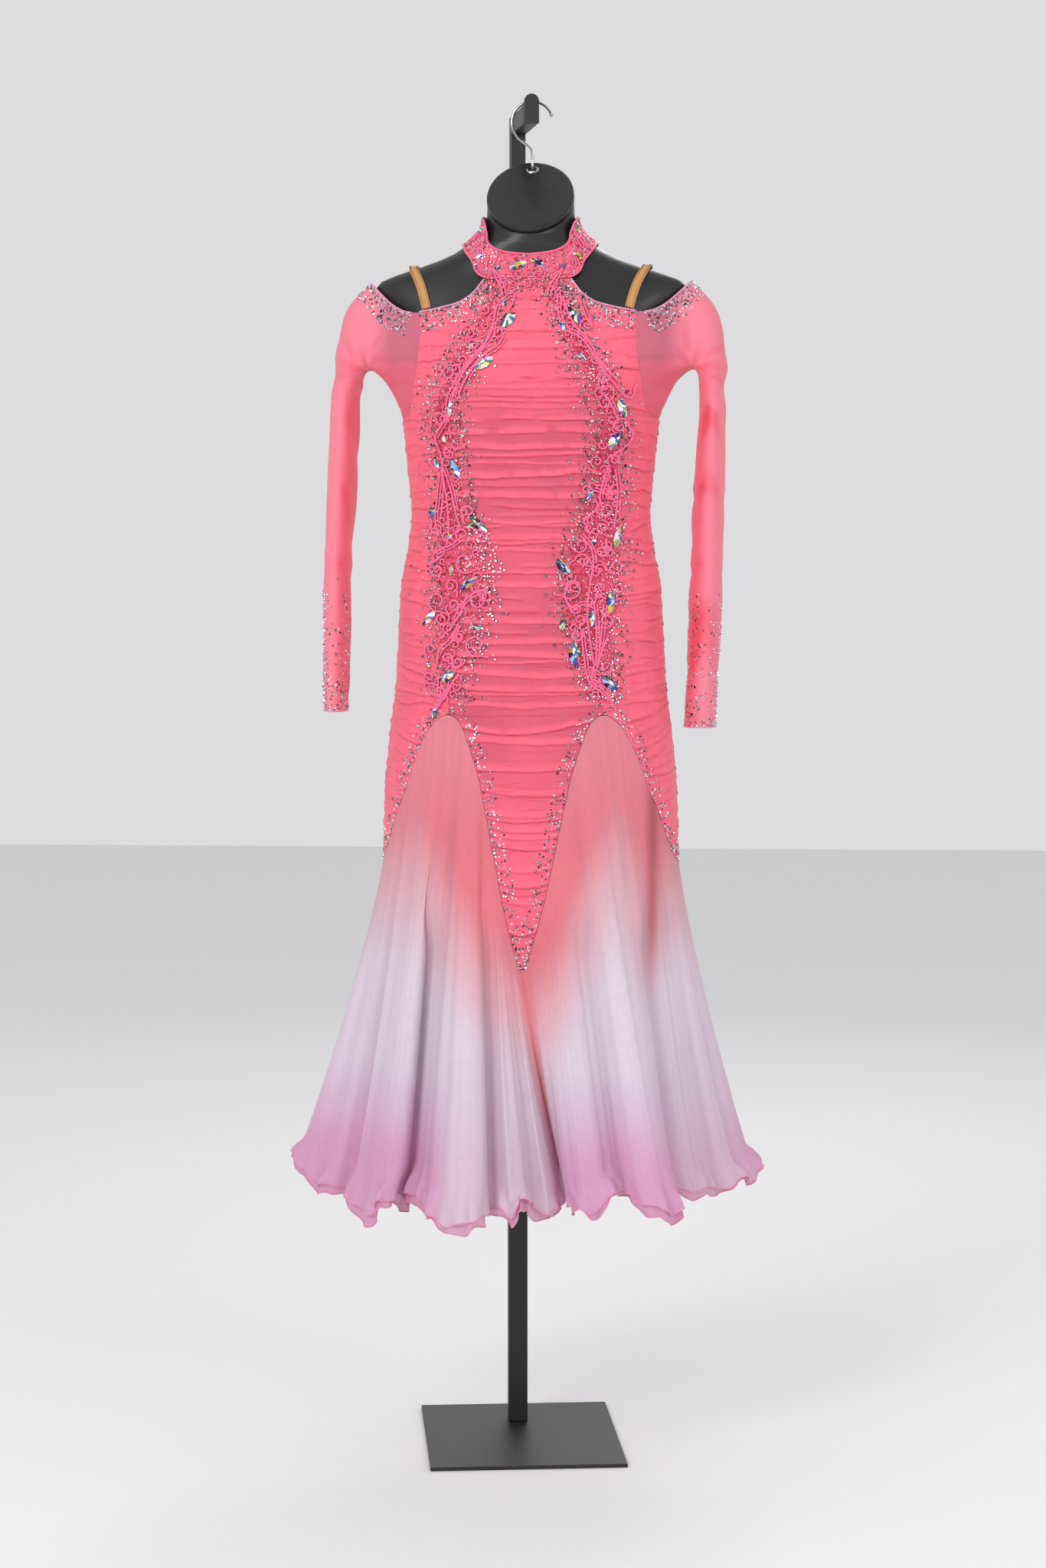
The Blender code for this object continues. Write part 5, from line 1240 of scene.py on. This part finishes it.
def make_applique(side, back):
    """Scrolls and stems of cord over a princess seam, filled with stones."""
    word = f"{'back' if back else 'front'}_{'left' if side < 0 else 'right'}"
    cords, berries, silver, aurora = Trim(), Trim(), Trim(), Trim()
    tops = 0.0028

    def lay(xs, zs, radius=0.00135):
        line, normal = on_bodice(xs, zs, back, tops)
        cords.tube(line, radius, 5, squash=normal)

    def put(trim, x, z, size, tones, sides=6):
        spot, normal = on_bodice(x, z, back, tops - 0.0009)
        stone(trim, spot, normal, size, tones, sides)

    for k, stem in enumerate(STEMS[side]):
        xs, zs = smooth_path(stem)
        lay(xs, zs, 0.0015)
        if k % 3 != 1:
            run = len(xs) * 3 // 4
            slope = np.stack([np.gradient(xs), np.gradient(zs)])
            slope /= np.linalg.norm(slope, axis=0)
            lay(xs[:run] - 0.0036 * slope[1][:run], zs[:run] + 0.0036 * slope[0][:run], 0.0012)
        along = np.cumsum(np.hypot(np.diff(xs, prepend=xs[0]), np.diff(zs, prepend=zs[0])))
        offset = 0.0024 if k % 2 else -0.0024
        for at in np.arange(0.004, along[-1] - 0.002, 0.0034):
            x = np.interp(at, along, xs)
            z = np.interp(at, along, zs)
            if rng.random() < 0.8:
                put(berries, x + offset, z, rng.uniform(0.0021, 0.0028), BERRY_AND_GLINT_TONES if rng.random() < 0.55 else PINK_AND_GLINT_TONES)
    for k, (x, z, radius) in enumerate(SCROLLS[side]):
        radius = radius * 0.00088
        turns = 1.35 if radius < 0.010 else 1.15
        start = rng.uniform(0, 6.28)
        way = 1 if k % 2 else -1
        xs, zs = scroll_line(x, z, radius, turns, start, way)
        lay(xs, zs)
        inner = 0.70
        count = int(2 * math.pi * radius * inner / 0.0031)
        tones = (PINK_AND_GLINT_TONES + SILVER_AND_GLINT_TONES[:2]) if k % 3 else BERRY_AND_GLINT_TONES
        for n in range(count):
            turn = start + way * (6.28 * 1.05 * n / count + 0.5)
            r = radius * inner * (1 - 0.45 * n / count)
            put(berries if k % 3 == 0 else silver, x + r * math.cos(turn), z + r * math.sin(turn), rng.uniform(0.0023, 0.0029), tones)
        for n in range(int((radius / 0.009) ** 2 * 7)):
            r = radius * 0.45 * math.sqrt(rng.random())
            turn = rng.uniform(0, 6.28)
            put(berries, x + r * math.cos(turn), z + r * math.sin(turn), rng.uniform(0.0022, 0.0030), BERRY_AND_GLINT_TONES)
        tail_x, tail_z = xs[0], zs[0]
        hook_x = tail_x + (0.010 * math.cos(start + way * -0.9))
        hook_z = tail_z + (0.010 * math.sin(start + way * -0.9))
        mid = ((tail_x + hook_x) / 2 + 0.002 * way, (tail_z + hook_z) / 2)
        lay(*smooth_path([(tail_x, tail_z), mid, (hook_x, hook_z)], 0.0015))
    for z in np.arange(0.995, 1.495, 0.0105):
        reach = float(np.interp(z, *FILL_WIDTHS)) * 0.9
        x = float(side * np.sin(np.radians(princess(np.array(z)))) * sizes_at(z)[0]) + rng.uniform(-reach, reach)
        xs, zs = scroll_line(x, z, rng.uniform(0.0050, 0.0078), 1.15, rng.uniform(0, 6.28), rng.choice([-1, 1]))
        lay(xs, zs, 0.0012)
        put(berries, xs[-1], zs[-1], 0.0032, BERRY_AND_GLINT_TONES)
    for x, z, length, width, turn in CRYSTALS[side]:
        spot, normal = on_bodice(x, z, back, tops - 0.0006)
        angle = math.radians(turn)
        if back:
            angle = math.pi - angle
        colours = [AURORA_AND_GLINT_TONES[n] for n in rng.integers(0, len(AURORA_AND_GLINT_TONES), 12)]
        size = 0.00118
        outline = round_outline(length * size, 10) if length == width else navette_outline(length * size, width * size)
        aurora.gem(spot, normal, angle, outline, width * size * 0.40, 0.46, colours)
        inner_colours = [AURORA_AND_GLINT_TONES[n] for n in rng.integers(0, len(AURORA_AND_GLINT_TONES), 12)]
        aurora.gem(spot + normal * width * size * 0.399, normal, angle, outline * 0.46, width * size * 0.06, 0.5, inner_colours)
    z_values = rng.uniform(0.985, 1.505, 1500)
    spread = monotone(((0.98, 0.012), (1.04, 0.026), (1.11, 0.040), (1.16, 0.042), (1.21, 0.028), (1.30, 0.020),
                       (1.40, 0.022), (1.46, 0.018), (1.51, 0.014)), z_values)[:, 0]
    seam_x = side * np.sin(np.radians(princess(z_values))) * sizes_at(z_values)[0]
    sway = np.where(rng.random(1500) < 0.5, -1, 1)
    offset = sway * (spread * rng.uniform(0.55, 1.0, 1500) + rng.exponential(0.0060, 1500))
    taken = {}
    for x, z in zip(seam_x + offset, z_values):
        cell = (int(x / 0.0046), int(z / 0.0046))
        if cell in taken or abs(x) > 0.93 * float(sizes_at(z)[0]):
            continue
        if back and abs(x) < 0.010:
            continue
        taken[cell] = True
        put(silver, x, z, rng.choice([0.0026, 0.0031, 0.0037, 0.0043], p=[0.3, 0.35, 0.25, 0.1]), SILVER_AND_GLINT_TONES)
    for _ in range(2600):
        z = rng.uniform(0.99, 1.50)
        width = float(np.interp(z, *FILL_WIDTHS)) * 0.92
        x = float(side * np.sin(np.radians(princess(np.array(z)))) * sizes_at(z)[0]) + rng.uniform(-width, width)
        cell = (int(x / 0.0034), int(z / 0.0034), 1)
        if cell in taken:
            continue
        taken[cell] = True
        pick = rng.random()
        tones = BERRY_AND_GLINT_TONES if pick < 0.45 else (PINK_AND_GLINT_TONES if pick < 0.75 else SILVER_AND_GLINT_TONES)
        put(berries, x, z, rng.uniform(0.0020, 0.0029), tones)
    piece = hang(cords.piece(f"cords_{word}", "cord"), "beaded_applique", f"applique_{word}")
    hang(berries.piece(f"berry_beads_{word}", "berry", True), "beaded_applique")
    hang(silver.piece(f"silver_stones_{word}", "silver", True), "beaded_applique")
    hang(aurora.piece(f"crystals_{word}", "aurora", True), "beaded_applique")
    return piece


def make_collar_work():
    cords, berries, silver, aurora = Trim(), Trim(), Trim(), Trim()
    for edge in (0.04, 0.97):
        line, normal = collar_point(np.linspace(-0.995, 0.995, 240), edge, 0.0016)
        cords.tube(line, 0.0012, 5, squash=normal)
    places = np.linspace(-0.96, 0.96, 27)
    for k, t in enumerate(places):
        way = 1 if k % 2 else -1
        turns = 1.25
        steps = np.linspace(0, 1, 26)
        r = 1 - 0.8 * steps
        turn = rng.uniform(0, 6.28) + way * 2 * math.pi * turns * steps
        line, normal = collar_point(np.clip(t + 0.028 * r * np.cos(turn), -0.99, 0.99), 0.5 + 0.36 * r * np.sin(turn), 0.0018)
        cords.tube(line, 0.0010, 5, squash=normal)
    for k in range(14):
        t0 = -0.97 + 1.94 * k / 14
        steps = np.linspace(0, 1, 12)
        line, normal = collar_point(np.clip(t0 + 0.06 * steps, -0.99, 0.99), 0.5 + 0.42 * np.sin(steps * math.pi * 2 + k), 0.0020)
        cords.tube(line, 0.0010, 5, squash=normal)
    taken = {}
    for _ in range(2600):
        t = rng.uniform(-0.985, 0.985)
        s = rng.uniform(0.08, 0.93)
        cell = (int(t / 0.0135), int(s / 0.085))
        if cell in taken:
            continue
        taken[cell] = True
        spot, normal = collar_point(t, s, 0.0012)
        pick = rng.random()
        tones, trim = (BERRY_AND_GLINT_TONES, berries) if pick < 0.25 else ((PINK_AND_GLINT_TONES, berries) if pick < 0.45 else (SILVER_AND_GLINT_TONES, silver))
        stone(trim, spot, normal, rng.uniform(0.0022, 0.0032), tones)
    jewels = ((-0.034, 0.48, 22, 12, 25), (0.036, 0.42, 21, 11, 150), (-0.19, 0.5, 15, 7, 30), (0.20, 0.5, 15, 7, 150),
              (0.36, 0.4, 14, 7, 120), (-0.36, 0.4, 14, 7, 60), (-0.09, 0.62, 9, 6, 20), (0.11, 0.6, 9, 6, 160),
              (-0.6, 0.5, 14, 7, 90), (0.6, 0.5, 14, 7, 90), (0.85, 0.5, 14, 7, 60), (-0.85, 0.5, 14, 7, 120))
    for t, s, length, width, turn in jewels:
        spot, normal = collar_point(t, s, 0.0014)
        colours = [AURORA_AND_GLINT_TONES[n] for n in rng.integers(0, len(AURORA_AND_GLINT_TONES), 12)]
        aurora.gem(spot, normal, math.radians(turn), navette_outline(length * 0.00105, width * 0.00105), 0.0034, 0.46, colours)
    for x, z, radius, turns, start, way in (
            (-0.012, 1.5235, 0.0085, 1.3, 2.4, 1), (0.014, 1.5235, 0.0085, 1.3, 0.6, -1), (-0.030, 1.5110, 0.0075, 1.2, 1.0, 1),
            (0.032, 1.5110, 0.0075, 1.2, 2.0, -1), (0.0, 1.5130, 0.0060, 1.2, 4.6, 1), (-0.020, 1.5010, 0.0060, 1.2, 0.2, 1),
            (0.038, 1.5000, 0.0060, 1.2, 2.9, -1)):
        xs, zs = scroll_line(x, z, radius, turns, start, way)
        line, normal = on_bodice(xs, zs, False, 0.0034)
        cords.tube(line, 0.0012, 5, squash=normal)
    for way in (-1, 1):
        for shift in (0.0, 0.0042):
            xs, zs = smooth_path(
                ((way * 0.0440, 1.5330), (way * 0.0400 - way * shift, 1.5200), (way * 0.0330 - way * shift, 1.5080),
                 (way * 0.0300 - way * shift, 1.4960)))
            line, normal = on_bodice(xs, zs, False, 0.0034)
            cords.tube(line, 0.0013, 5, squash=normal)
    near = {}
    for _ in range(900):
        z = rng.uniform(1.494, 1.522)
        x = rng.uniform(-1, 1) * (0.052 if z > 1.505 else 0.040)
        cell = (int((x + 1) / 0.0038), int(z / 0.0038))
        if cell in near or (z < 1.502 and abs(x) < 0.018):
            continue
        near[cell] = True
        spot, normal = on_bodice(x, z, False, 0.0022)
        pick = rng.random()
        tones, trim = (BERRY_AND_GLINT_TONES, berries) if pick < 0.22 else ((PINK_AND_GLINT_TONES, berries) if pick < 0.4 else (SILVER_AND_GLINT_TONES, silver))
        stone(trim, spot, normal, rng.uniform(0.0022, 0.0032), tones)
    hang(cords.piece("cords_collar", "cord"), "beaded_applique")
    hang(berries.piece("berry_beads_collar", "berry", True), "beaded_applique")
    hang(silver.piece("silver_stones_collar", "silver", True), "beaded_applique")
    hang(aurora.piece("crystals_collar", "aurora", True), "beaded_applique")


def scatter_band(trim, tree, line, inward, width, count, sizes, tones, falloff=1.8):
    """Stones in a band along an edge, close together at the edge and thinning away from it."""
    line = np.asarray(line, float)
    length = np.concatenate([[0], np.cumsum(np.linalg.norm(np.diff(line, axis=0), axis=1))])
    placed = []
    for _ in range(count):
        at = rng.uniform(0, length[-1])
        spot = np.array([np.interp(at, length, line[:, i]) for i in range(3)])
        way = np.array([np.interp(at, length, inward[:, i]) for i in range(3)])
        spot = spot + way * (0.0016 + width * rng.random() ** falloff)
        found, normal, _, distance = tree.find_nearest(Vector(spot))
        if found is None or distance > 0.02:
            continue
        key = tuple(np.floor(np.array(found) / 0.0040).astype(int))
        if key in placed:
            continue
        placed.append(key)
        outwards = np.array(normal)
        if outwards @ np.array([found.x, found.y * 2.0, 0.05]) < 0:
            outwards = -outwards
        stone(trim, np.array(found), outwards, rng.choice(sizes), tones)


def make_edge_work(panels, sleeves):
    """Stones and rolled edges along the neckline, the arches and the cuffs."""
    for side, word in ((-1, "left"), (1, "right")):
        silver = Trim()
        edges = Trim()
        sleeve = sleeves[word]
        for back, place in ((False, "front"), (True, "back")):
            z = np.linspace(1.519, 1.4785, 40)
            bearing = outer_edge(z)
            turned = side * (180 - bearing if back else bearing)
            line, normal = body(turned, z, 0.0010, True)
            edges.tube(line, 0.0013, 6, squash=normal)
            down = np.gradient(line, axis=0)
            down /= np.linalg.norm(down, axis=1, keepdims=True)
            inward = np.cross(normal, down)
            middle = np.array([0, line[20, 1], 1.45])
            if inward[20] @ (middle - line[20]) < 0:
                inward = -inward
            tree = tree_of(panels[f"{place}_side_{word}"], panels["front_centre" if not back else f"back_centre_{word}"])
            scatter_band(silver, tree, line, inward, 0.026, 320, [0.0029, 0.0034, 0.0040, 0.0045], SILVER_AND_GLINT_TONES)
            top = catmull([(k / 6, side * x, (1 if back else -1) * y, zz) for k, (x, zz, y) in enumerate(SLEEVE_TOP)], np.linspace(0, 1, 50))
            sleeve_tree = tree_of(sleeve)
            snapped = np.array([list(sleeve_tree.find_nearest(Vector(p))[0]) for p in top])
            edges.tube(snapped, 0.0013, 6)
            inward = np.tile(np.array([side * 0.25, 0.0, -0.97]), (50, 1))
            scatter_band(silver, sleeve_tree, snapped, inward, 0.028, 280, [0.0029, 0.0034, 0.0040, 0.0045], SILVER_AND_GLINT_TONES)
            rows = FINE_ARCH[::4]
            arch, normal = body(side * (180 - rows[:, 0] if back else rows[:, 0]), rows[:, 1], 0.0010, True)
            travel = np.gradient(arch, axis=0)
            travel /= np.linalg.norm(travel, axis=1, keepdims=True)
            away = np.cross(normal, travel)
            if away[len(away) // 2][2] < 0:
                away = -away
            tree = tree_of(*[piece for key, piece in panels.items() if key.startswith(place)])
            scatter_band(silver, tree, arch, away, 0.017, 520, [0.0030, 0.0035, 0.0041], SILVER_AND_GLINT_TONES, 1.5)
        z0, centre, half, depth = CUFF[side]
        sleeve_tree = tree_of(sleeve)
        turn = np.linspace(0, 2 * math.pi, 60)
        ring = np.stack([side * (centre + half * np.cos(turn)), depth * np.sin(turn), np.full(60, z0)], -1)
        snapped = np.array([list(sleeve_tree.find_nearest(Vector(p))[0]) for p in ring])
        edges.tube(snapped[:-1], 0.0012, 6, closed=True)
        up = np.tile(np.array([0, 0, 1.0]), (60, 1))
        scatter_band(silver, sleeve_tree, snapped, up, 0.17, 900, [0.0024, 0.0029, 0.0036], SILVER_AND_GLINT_TONES, 2.3)
        hang(silver.piece(f"silver_stones_{word}", "silver", True), "sheer_mesh")
        hang(edges.piece(f"rolled_edges_{word}", "hem"), "sheer_mesh")


# ---------------------------------------------------------------- straps, zip, form, hook
def make_straps():
    for side, word in ((-1, "left"), (1, "right")):
        ridge = sorted((row[1], row[0]) for row in BODY if row[0] >= 1.510)
        line = []
        for way in (-1, 1):
            part = []
            for z, x in STRAP:
                half, front, back = [float(v) for v in sizes_at(z)]
                depth = front if way < 0 else back
                part.append((side * x, way * depth * math.sqrt(max(1 - (x / half) ** 2, 0)), z))
            line += part if way < 0 else part[::-1]
            if way < 0:
                line.append((side * 0.150, 0.0, float(monotone(ridge, 0.150)[0])))
        path = smooth_path(line, 0.0035).T
        path[:, 2] += 0.0004
        outward = np.stack([np.zeros(len(path)), path[:, 1] / 0.06, np.full(len(path), 0.6)], -1)
        outward /= np.linalg.norm(outward, axis=1, keepdims=True)
        along = np.gradient(path, axis=0)
        along /= np.linalg.norm(along, axis=1, keepdims=True)
        across = np.cross(along, outward)
        across /= np.linalg.norm(across, axis=1, keepdims=True)
        offsets = np.array([-0.0059, -0.0055, -0.0045, 0.0, 0.0045, 0.0055, 0.0059])
        heights = np.array([-0.0004, 0.0002, 0.0, 0.0001, 0.0, 0.0002, -0.0004])
        grid = path[:, None] + across[:, None] * offsets[None, :, None] + outward[:, None] * heights[None, :, None]
        under = grid - outward[:, None] * 0.0011
        count, width = grid.shape[:2]
        ring = np.concatenate([grid, under[:, ::-1]], 1)
        faces = grid_faces(count, 2 * width, False, True).tolist()
        faces.append([j for j in range(2 * width)][::-1])
        faces.append([(count - 1) * 2 * width + j for j in range(2 * width)])
        piece = build(f"strap_{word}", ring.reshape(-1, 3), faces, "elastic")
        mesh = bmesh.new()
        mesh.from_mesh(piece.data)
        bmesh.ops.recalc_face_normals(mesh, faces=mesh.faces)
        mesh.to_mesh(piece.data)
        mesh.free()
        hang(piece, "nude_elastic", f"strap_{word}")
        piece.name = f"elastic_strap_{word}"
        stitches = Trim()
        for centre in (-0.0042, 0.0042):
            steps = np.arange(0, (count - 1) * 0.0035, 0.0013)
            zigzag = np.where(np.arange(len(steps)) % 2 == 0, -0.0009, 0.0009)
            at = steps / 0.0035
            low = at.astype(int)
            low = np.minimum(low, count - 2)
            share = (at - low)[:, None]
            base = path[low] * (1 - share) + path[low + 1] * share
            side_way = across[low]
            out = outward[low]
            stitches.tube(base + side_way * (centre + zigzag)[:, None] + out * 0.0003, 0.00022, 4)
        zigzags = hang(stitches.piece(f"strap_stitches_{word}", "stitch"), "nude_elastic")


def make_zip():
    z = np.linspace(1.503, 1.031, 260)
    offsets = np.array([-0.0036, -0.0030, -0.0012, 0.0, 0.0012, 0.0030, 0.0036])
    grid = []
    for offset in offsets:
        bearing = 180 + offset / girth(180.0, z)
        grid.append(body(bearing, z, 0.0006 if abs(offset) < 0.002 else 0.0009))
    grid = np.stack(grid, 1)
    tint = np.broadcast_to(rgb(226, 82, 104), grid.shape)
    piece = cloth("back_zip", grid, "ruched", tint)
    hang(piece, "zip_tape", "back_zip")
    piece.name = "zip_tape"
    coil = Trim()
    for way in (-1, 1):
        steps = np.linspace(0, 1, 900)
        height = 1.500 - 0.466 * steps
        swing = np.sin(steps * 900 * 2.1)
        bearing = 180 + (way * 0.0008 + 0.0006 * swing) / girth(180.0, height)
        line = body(bearing, height, 0.0013 + 0.0003 * np.cos(steps * 900 * 2.1))
        coil.tube(line, 0.00028, 4)
    teeth = hang(coil.piece("zip_coil", "hem"), "zip_tape")


def make_form():
    z = np.linspace(0.7900, 1.560, 90)
    turns = np.linspace(0, 360, 73)[:-1]
    inset = np.where(z < 1.035, 0.0090 + (0.0042 - 0.0090) * smooth(0.975, 1.035, z), 0.0042)
    grid = [body(turns, np.full(72, height), -depth) for height, depth in zip(z, inset)]

    def ring(half, deep, centre_z, tilt):
        a = np.radians(turns)
        y = -deep * np.cos(a)
        return np.stack([half * np.sin(a), y, centre_z + y * math.tan(math.radians(tilt))], -1)

    low = [ring(0.150 * s, 0.095 * s, 0.786, 0.0) for s in (0.02, 0.4, 0.8)]
    rims = [body(turns, np.full(72, 0.790), -inward) for inward in (0.022, 0.0125)]
    rims[0][:, 2] = 0.7862
    rims[1][:, 2] = 0.7872
    neck = catmull(
        [(0.0, 0.0840, 0.0553, 0.0553, 1.566, 0.0), (0.25, 0.0690, 0.0553, 0.0553, 1.5745, 3.0),
         (0.5, 0.0605, 0.0553, 0.0553, 1.586, 12.0), (0.75, 0.0565, 0.0553, 0.0553, 1.601, 25.0),
         (1.0, 0.0555, 0.0555, 0.0555, 1.6245, 41.0)], np.linspace(0, 1, 14))
    grid = low + rims + grid
    for half, deep, _, centre_z, tilt in neck:
        grid.append(ring(half, deep, centre_z, tilt))
    grid = np.array(grid)
    rows, columns = grid.shape[:2]
    faces = grid_faces(rows, columns, True, True).tolist()
    faces.append(list(range(columns))[::-1])
    faces.append([(rows - 1) * columns + j for j in range(columns)])
    piece = build("torso_form", grid.reshape(-1, 3), faces, "form")
    piece.data.set_sharp_from_angle(angle=math.radians(50))
    hang(piece, "black_form", "torso_form")
    piece.name = "form_shell"
    return piece


def make_hook():
    low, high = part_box("form_hook")
    foot = Vector((0.0, high.y - 0.0019, low.z + 0.0010))
    route = [(0.0, foot.y, foot.z), (0.0, foot.y - 0.0036, foot.z + 0.0042), (0.0, 0.0304, foot.z + 0.0120),
             (0.0, 0.030, 1.688), (-0.0030, 0.030, 1.6955), (-0.0105, 0.030, 1.7015), (-0.0185, 0.030, 1.7080)]
    for degrees in range(203, 8, -13):
        turn = math.radians(degrees)
        route.append((0.0265 * math.cos(turn), 0.030, 1.7276 + 0.0265 * math.sin(turn)))
    xs, ys, zs = smooth_path(route, 0.0012)
    line = np.stack([xs, ys, zs], -1)
    wire = Trim()
    wire.tube(line, 0.0019, 14, squash=np.array([0.0, 1.0, 0.0]))
    piece = wire.piece("form_hook", "chrome")
    bpy.ops.object.select_all(action="DESELECT")
    bpy.ops.mesh.primitive_uv_sphere_add(segments=20, ring_count=12, radius=0.0026, location=line[-1])
    ball = bpy.context.object
    ball.data.transform(ball.matrix_world)
    ball.matrix_world = Matrix.Identity(4)
    ball.data.shade_smooth()
    ball.data.materials.append(FINISHES["chrome"])
    ball.name = "hook_ball"
    hang(piece, "chrome", "form_hook")
    piece.name = "hook_wire"
    hang(ball, "chrome")


def dress_nodes():
    """Finishes for the solids that stay."""
    for names, finish in (
        (("base_plate", "post_outer", "post_inner", "arm", "arm_stop"), "powder"),
        (("neck_cap",), "form"),
        (("lock_screw", "hook_grommet", "zip_slider", "zip_pull"), "chrome"),
    ):
        for name in names:
            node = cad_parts[name]
            for slot_number in range(len(node.material_slots)):
                node.material_slots[slot_number].material = FINISHES[finish]


# ---------------------------------------------------------------- stage
def make_stage():
    bpy.ops.object.select_all(action="DESELECT")
    bpy.ops.mesh.primitive_plane_add(size=14.0, location=(0, 2.0, 0))
    floor = bpy.context.object
    floor.name = "floor"
    bpy.ops.object.mode_set(mode="EDIT")
    bpy.ops.mesh.select_all(action="SELECT")
    bpy.ops.mesh.subdivide(number_cuts=6)
    bpy.ops.object.mode_set(mode="OBJECT")
    floor.data.materials.append(FINISHES["floor"])
    world = bpy.data.worlds.new("studio")
    bpy.context.scene.world = world
    world.use_nodes = True
    world.node_tree.nodes["Background"].inputs[0].default_value = (0.90, 0.90, 0.92, 1.0)
    world.node_tree.nodes["Background"].inputs[1].default_value = 0.80
    for name, place, size, power in (
        ("key", (-1.8, -3.2, 2.9), 1.6, 70), ("fill", (2.6, -2.6, 1.9), 1.8, 30), ("back", (0.6, 2.6, 2.8), 1.4, 24),
    ):
        light = bpy.data.lights.new(name, "AREA")
        light.size = size
        light.energy = power
        lamp = bpy.data.objects.new(name, light)
        lamp.location = place
        lamp.rotation_euler = (Vector((0, 0, 1.05)) - Vector(place)).to_track_quat("-Z", "Y").to_euler()
        bpy.context.scene.collection.objects.link(lamp)
    lens = bpy.data.cameras.new("camera")
    lens.lens = 72.07
    lens.sensor_width = 36.0
    camera = bpy.data.objects.new("camera", lens)
    camera.location = (0.27324, -4.05081, 1.150)
    tilt = math.radians(3.865)
    ahead = Vector((
        -math.sin(math.radians(4)) * math.cos(tilt), math.cos(math.radians(4)) * math.cos(tilt), -math.sin(tilt)))
    camera.rotation_euler = ahead.to_track_quat("-Z", "Y").to_euler()
    bpy.context.scene.collection.objects.link(camera)
    bpy.context.scene.camera = camera
    bpy.context.scene.view_settings.view_transform = "Standard"


make_stage()
dress_nodes()
make_form()
make_hook()
ruched = make_panels()
arms = make_sleeves()
skirt = make_skirt()
make_collar()
make_collar_work()
for applique_side in (-1, 1):
    for applique_back in (False, True):
        make_applique(applique_side, applique_back)
make_edge_work(ruched, arms)
make_straps()
make_zip()
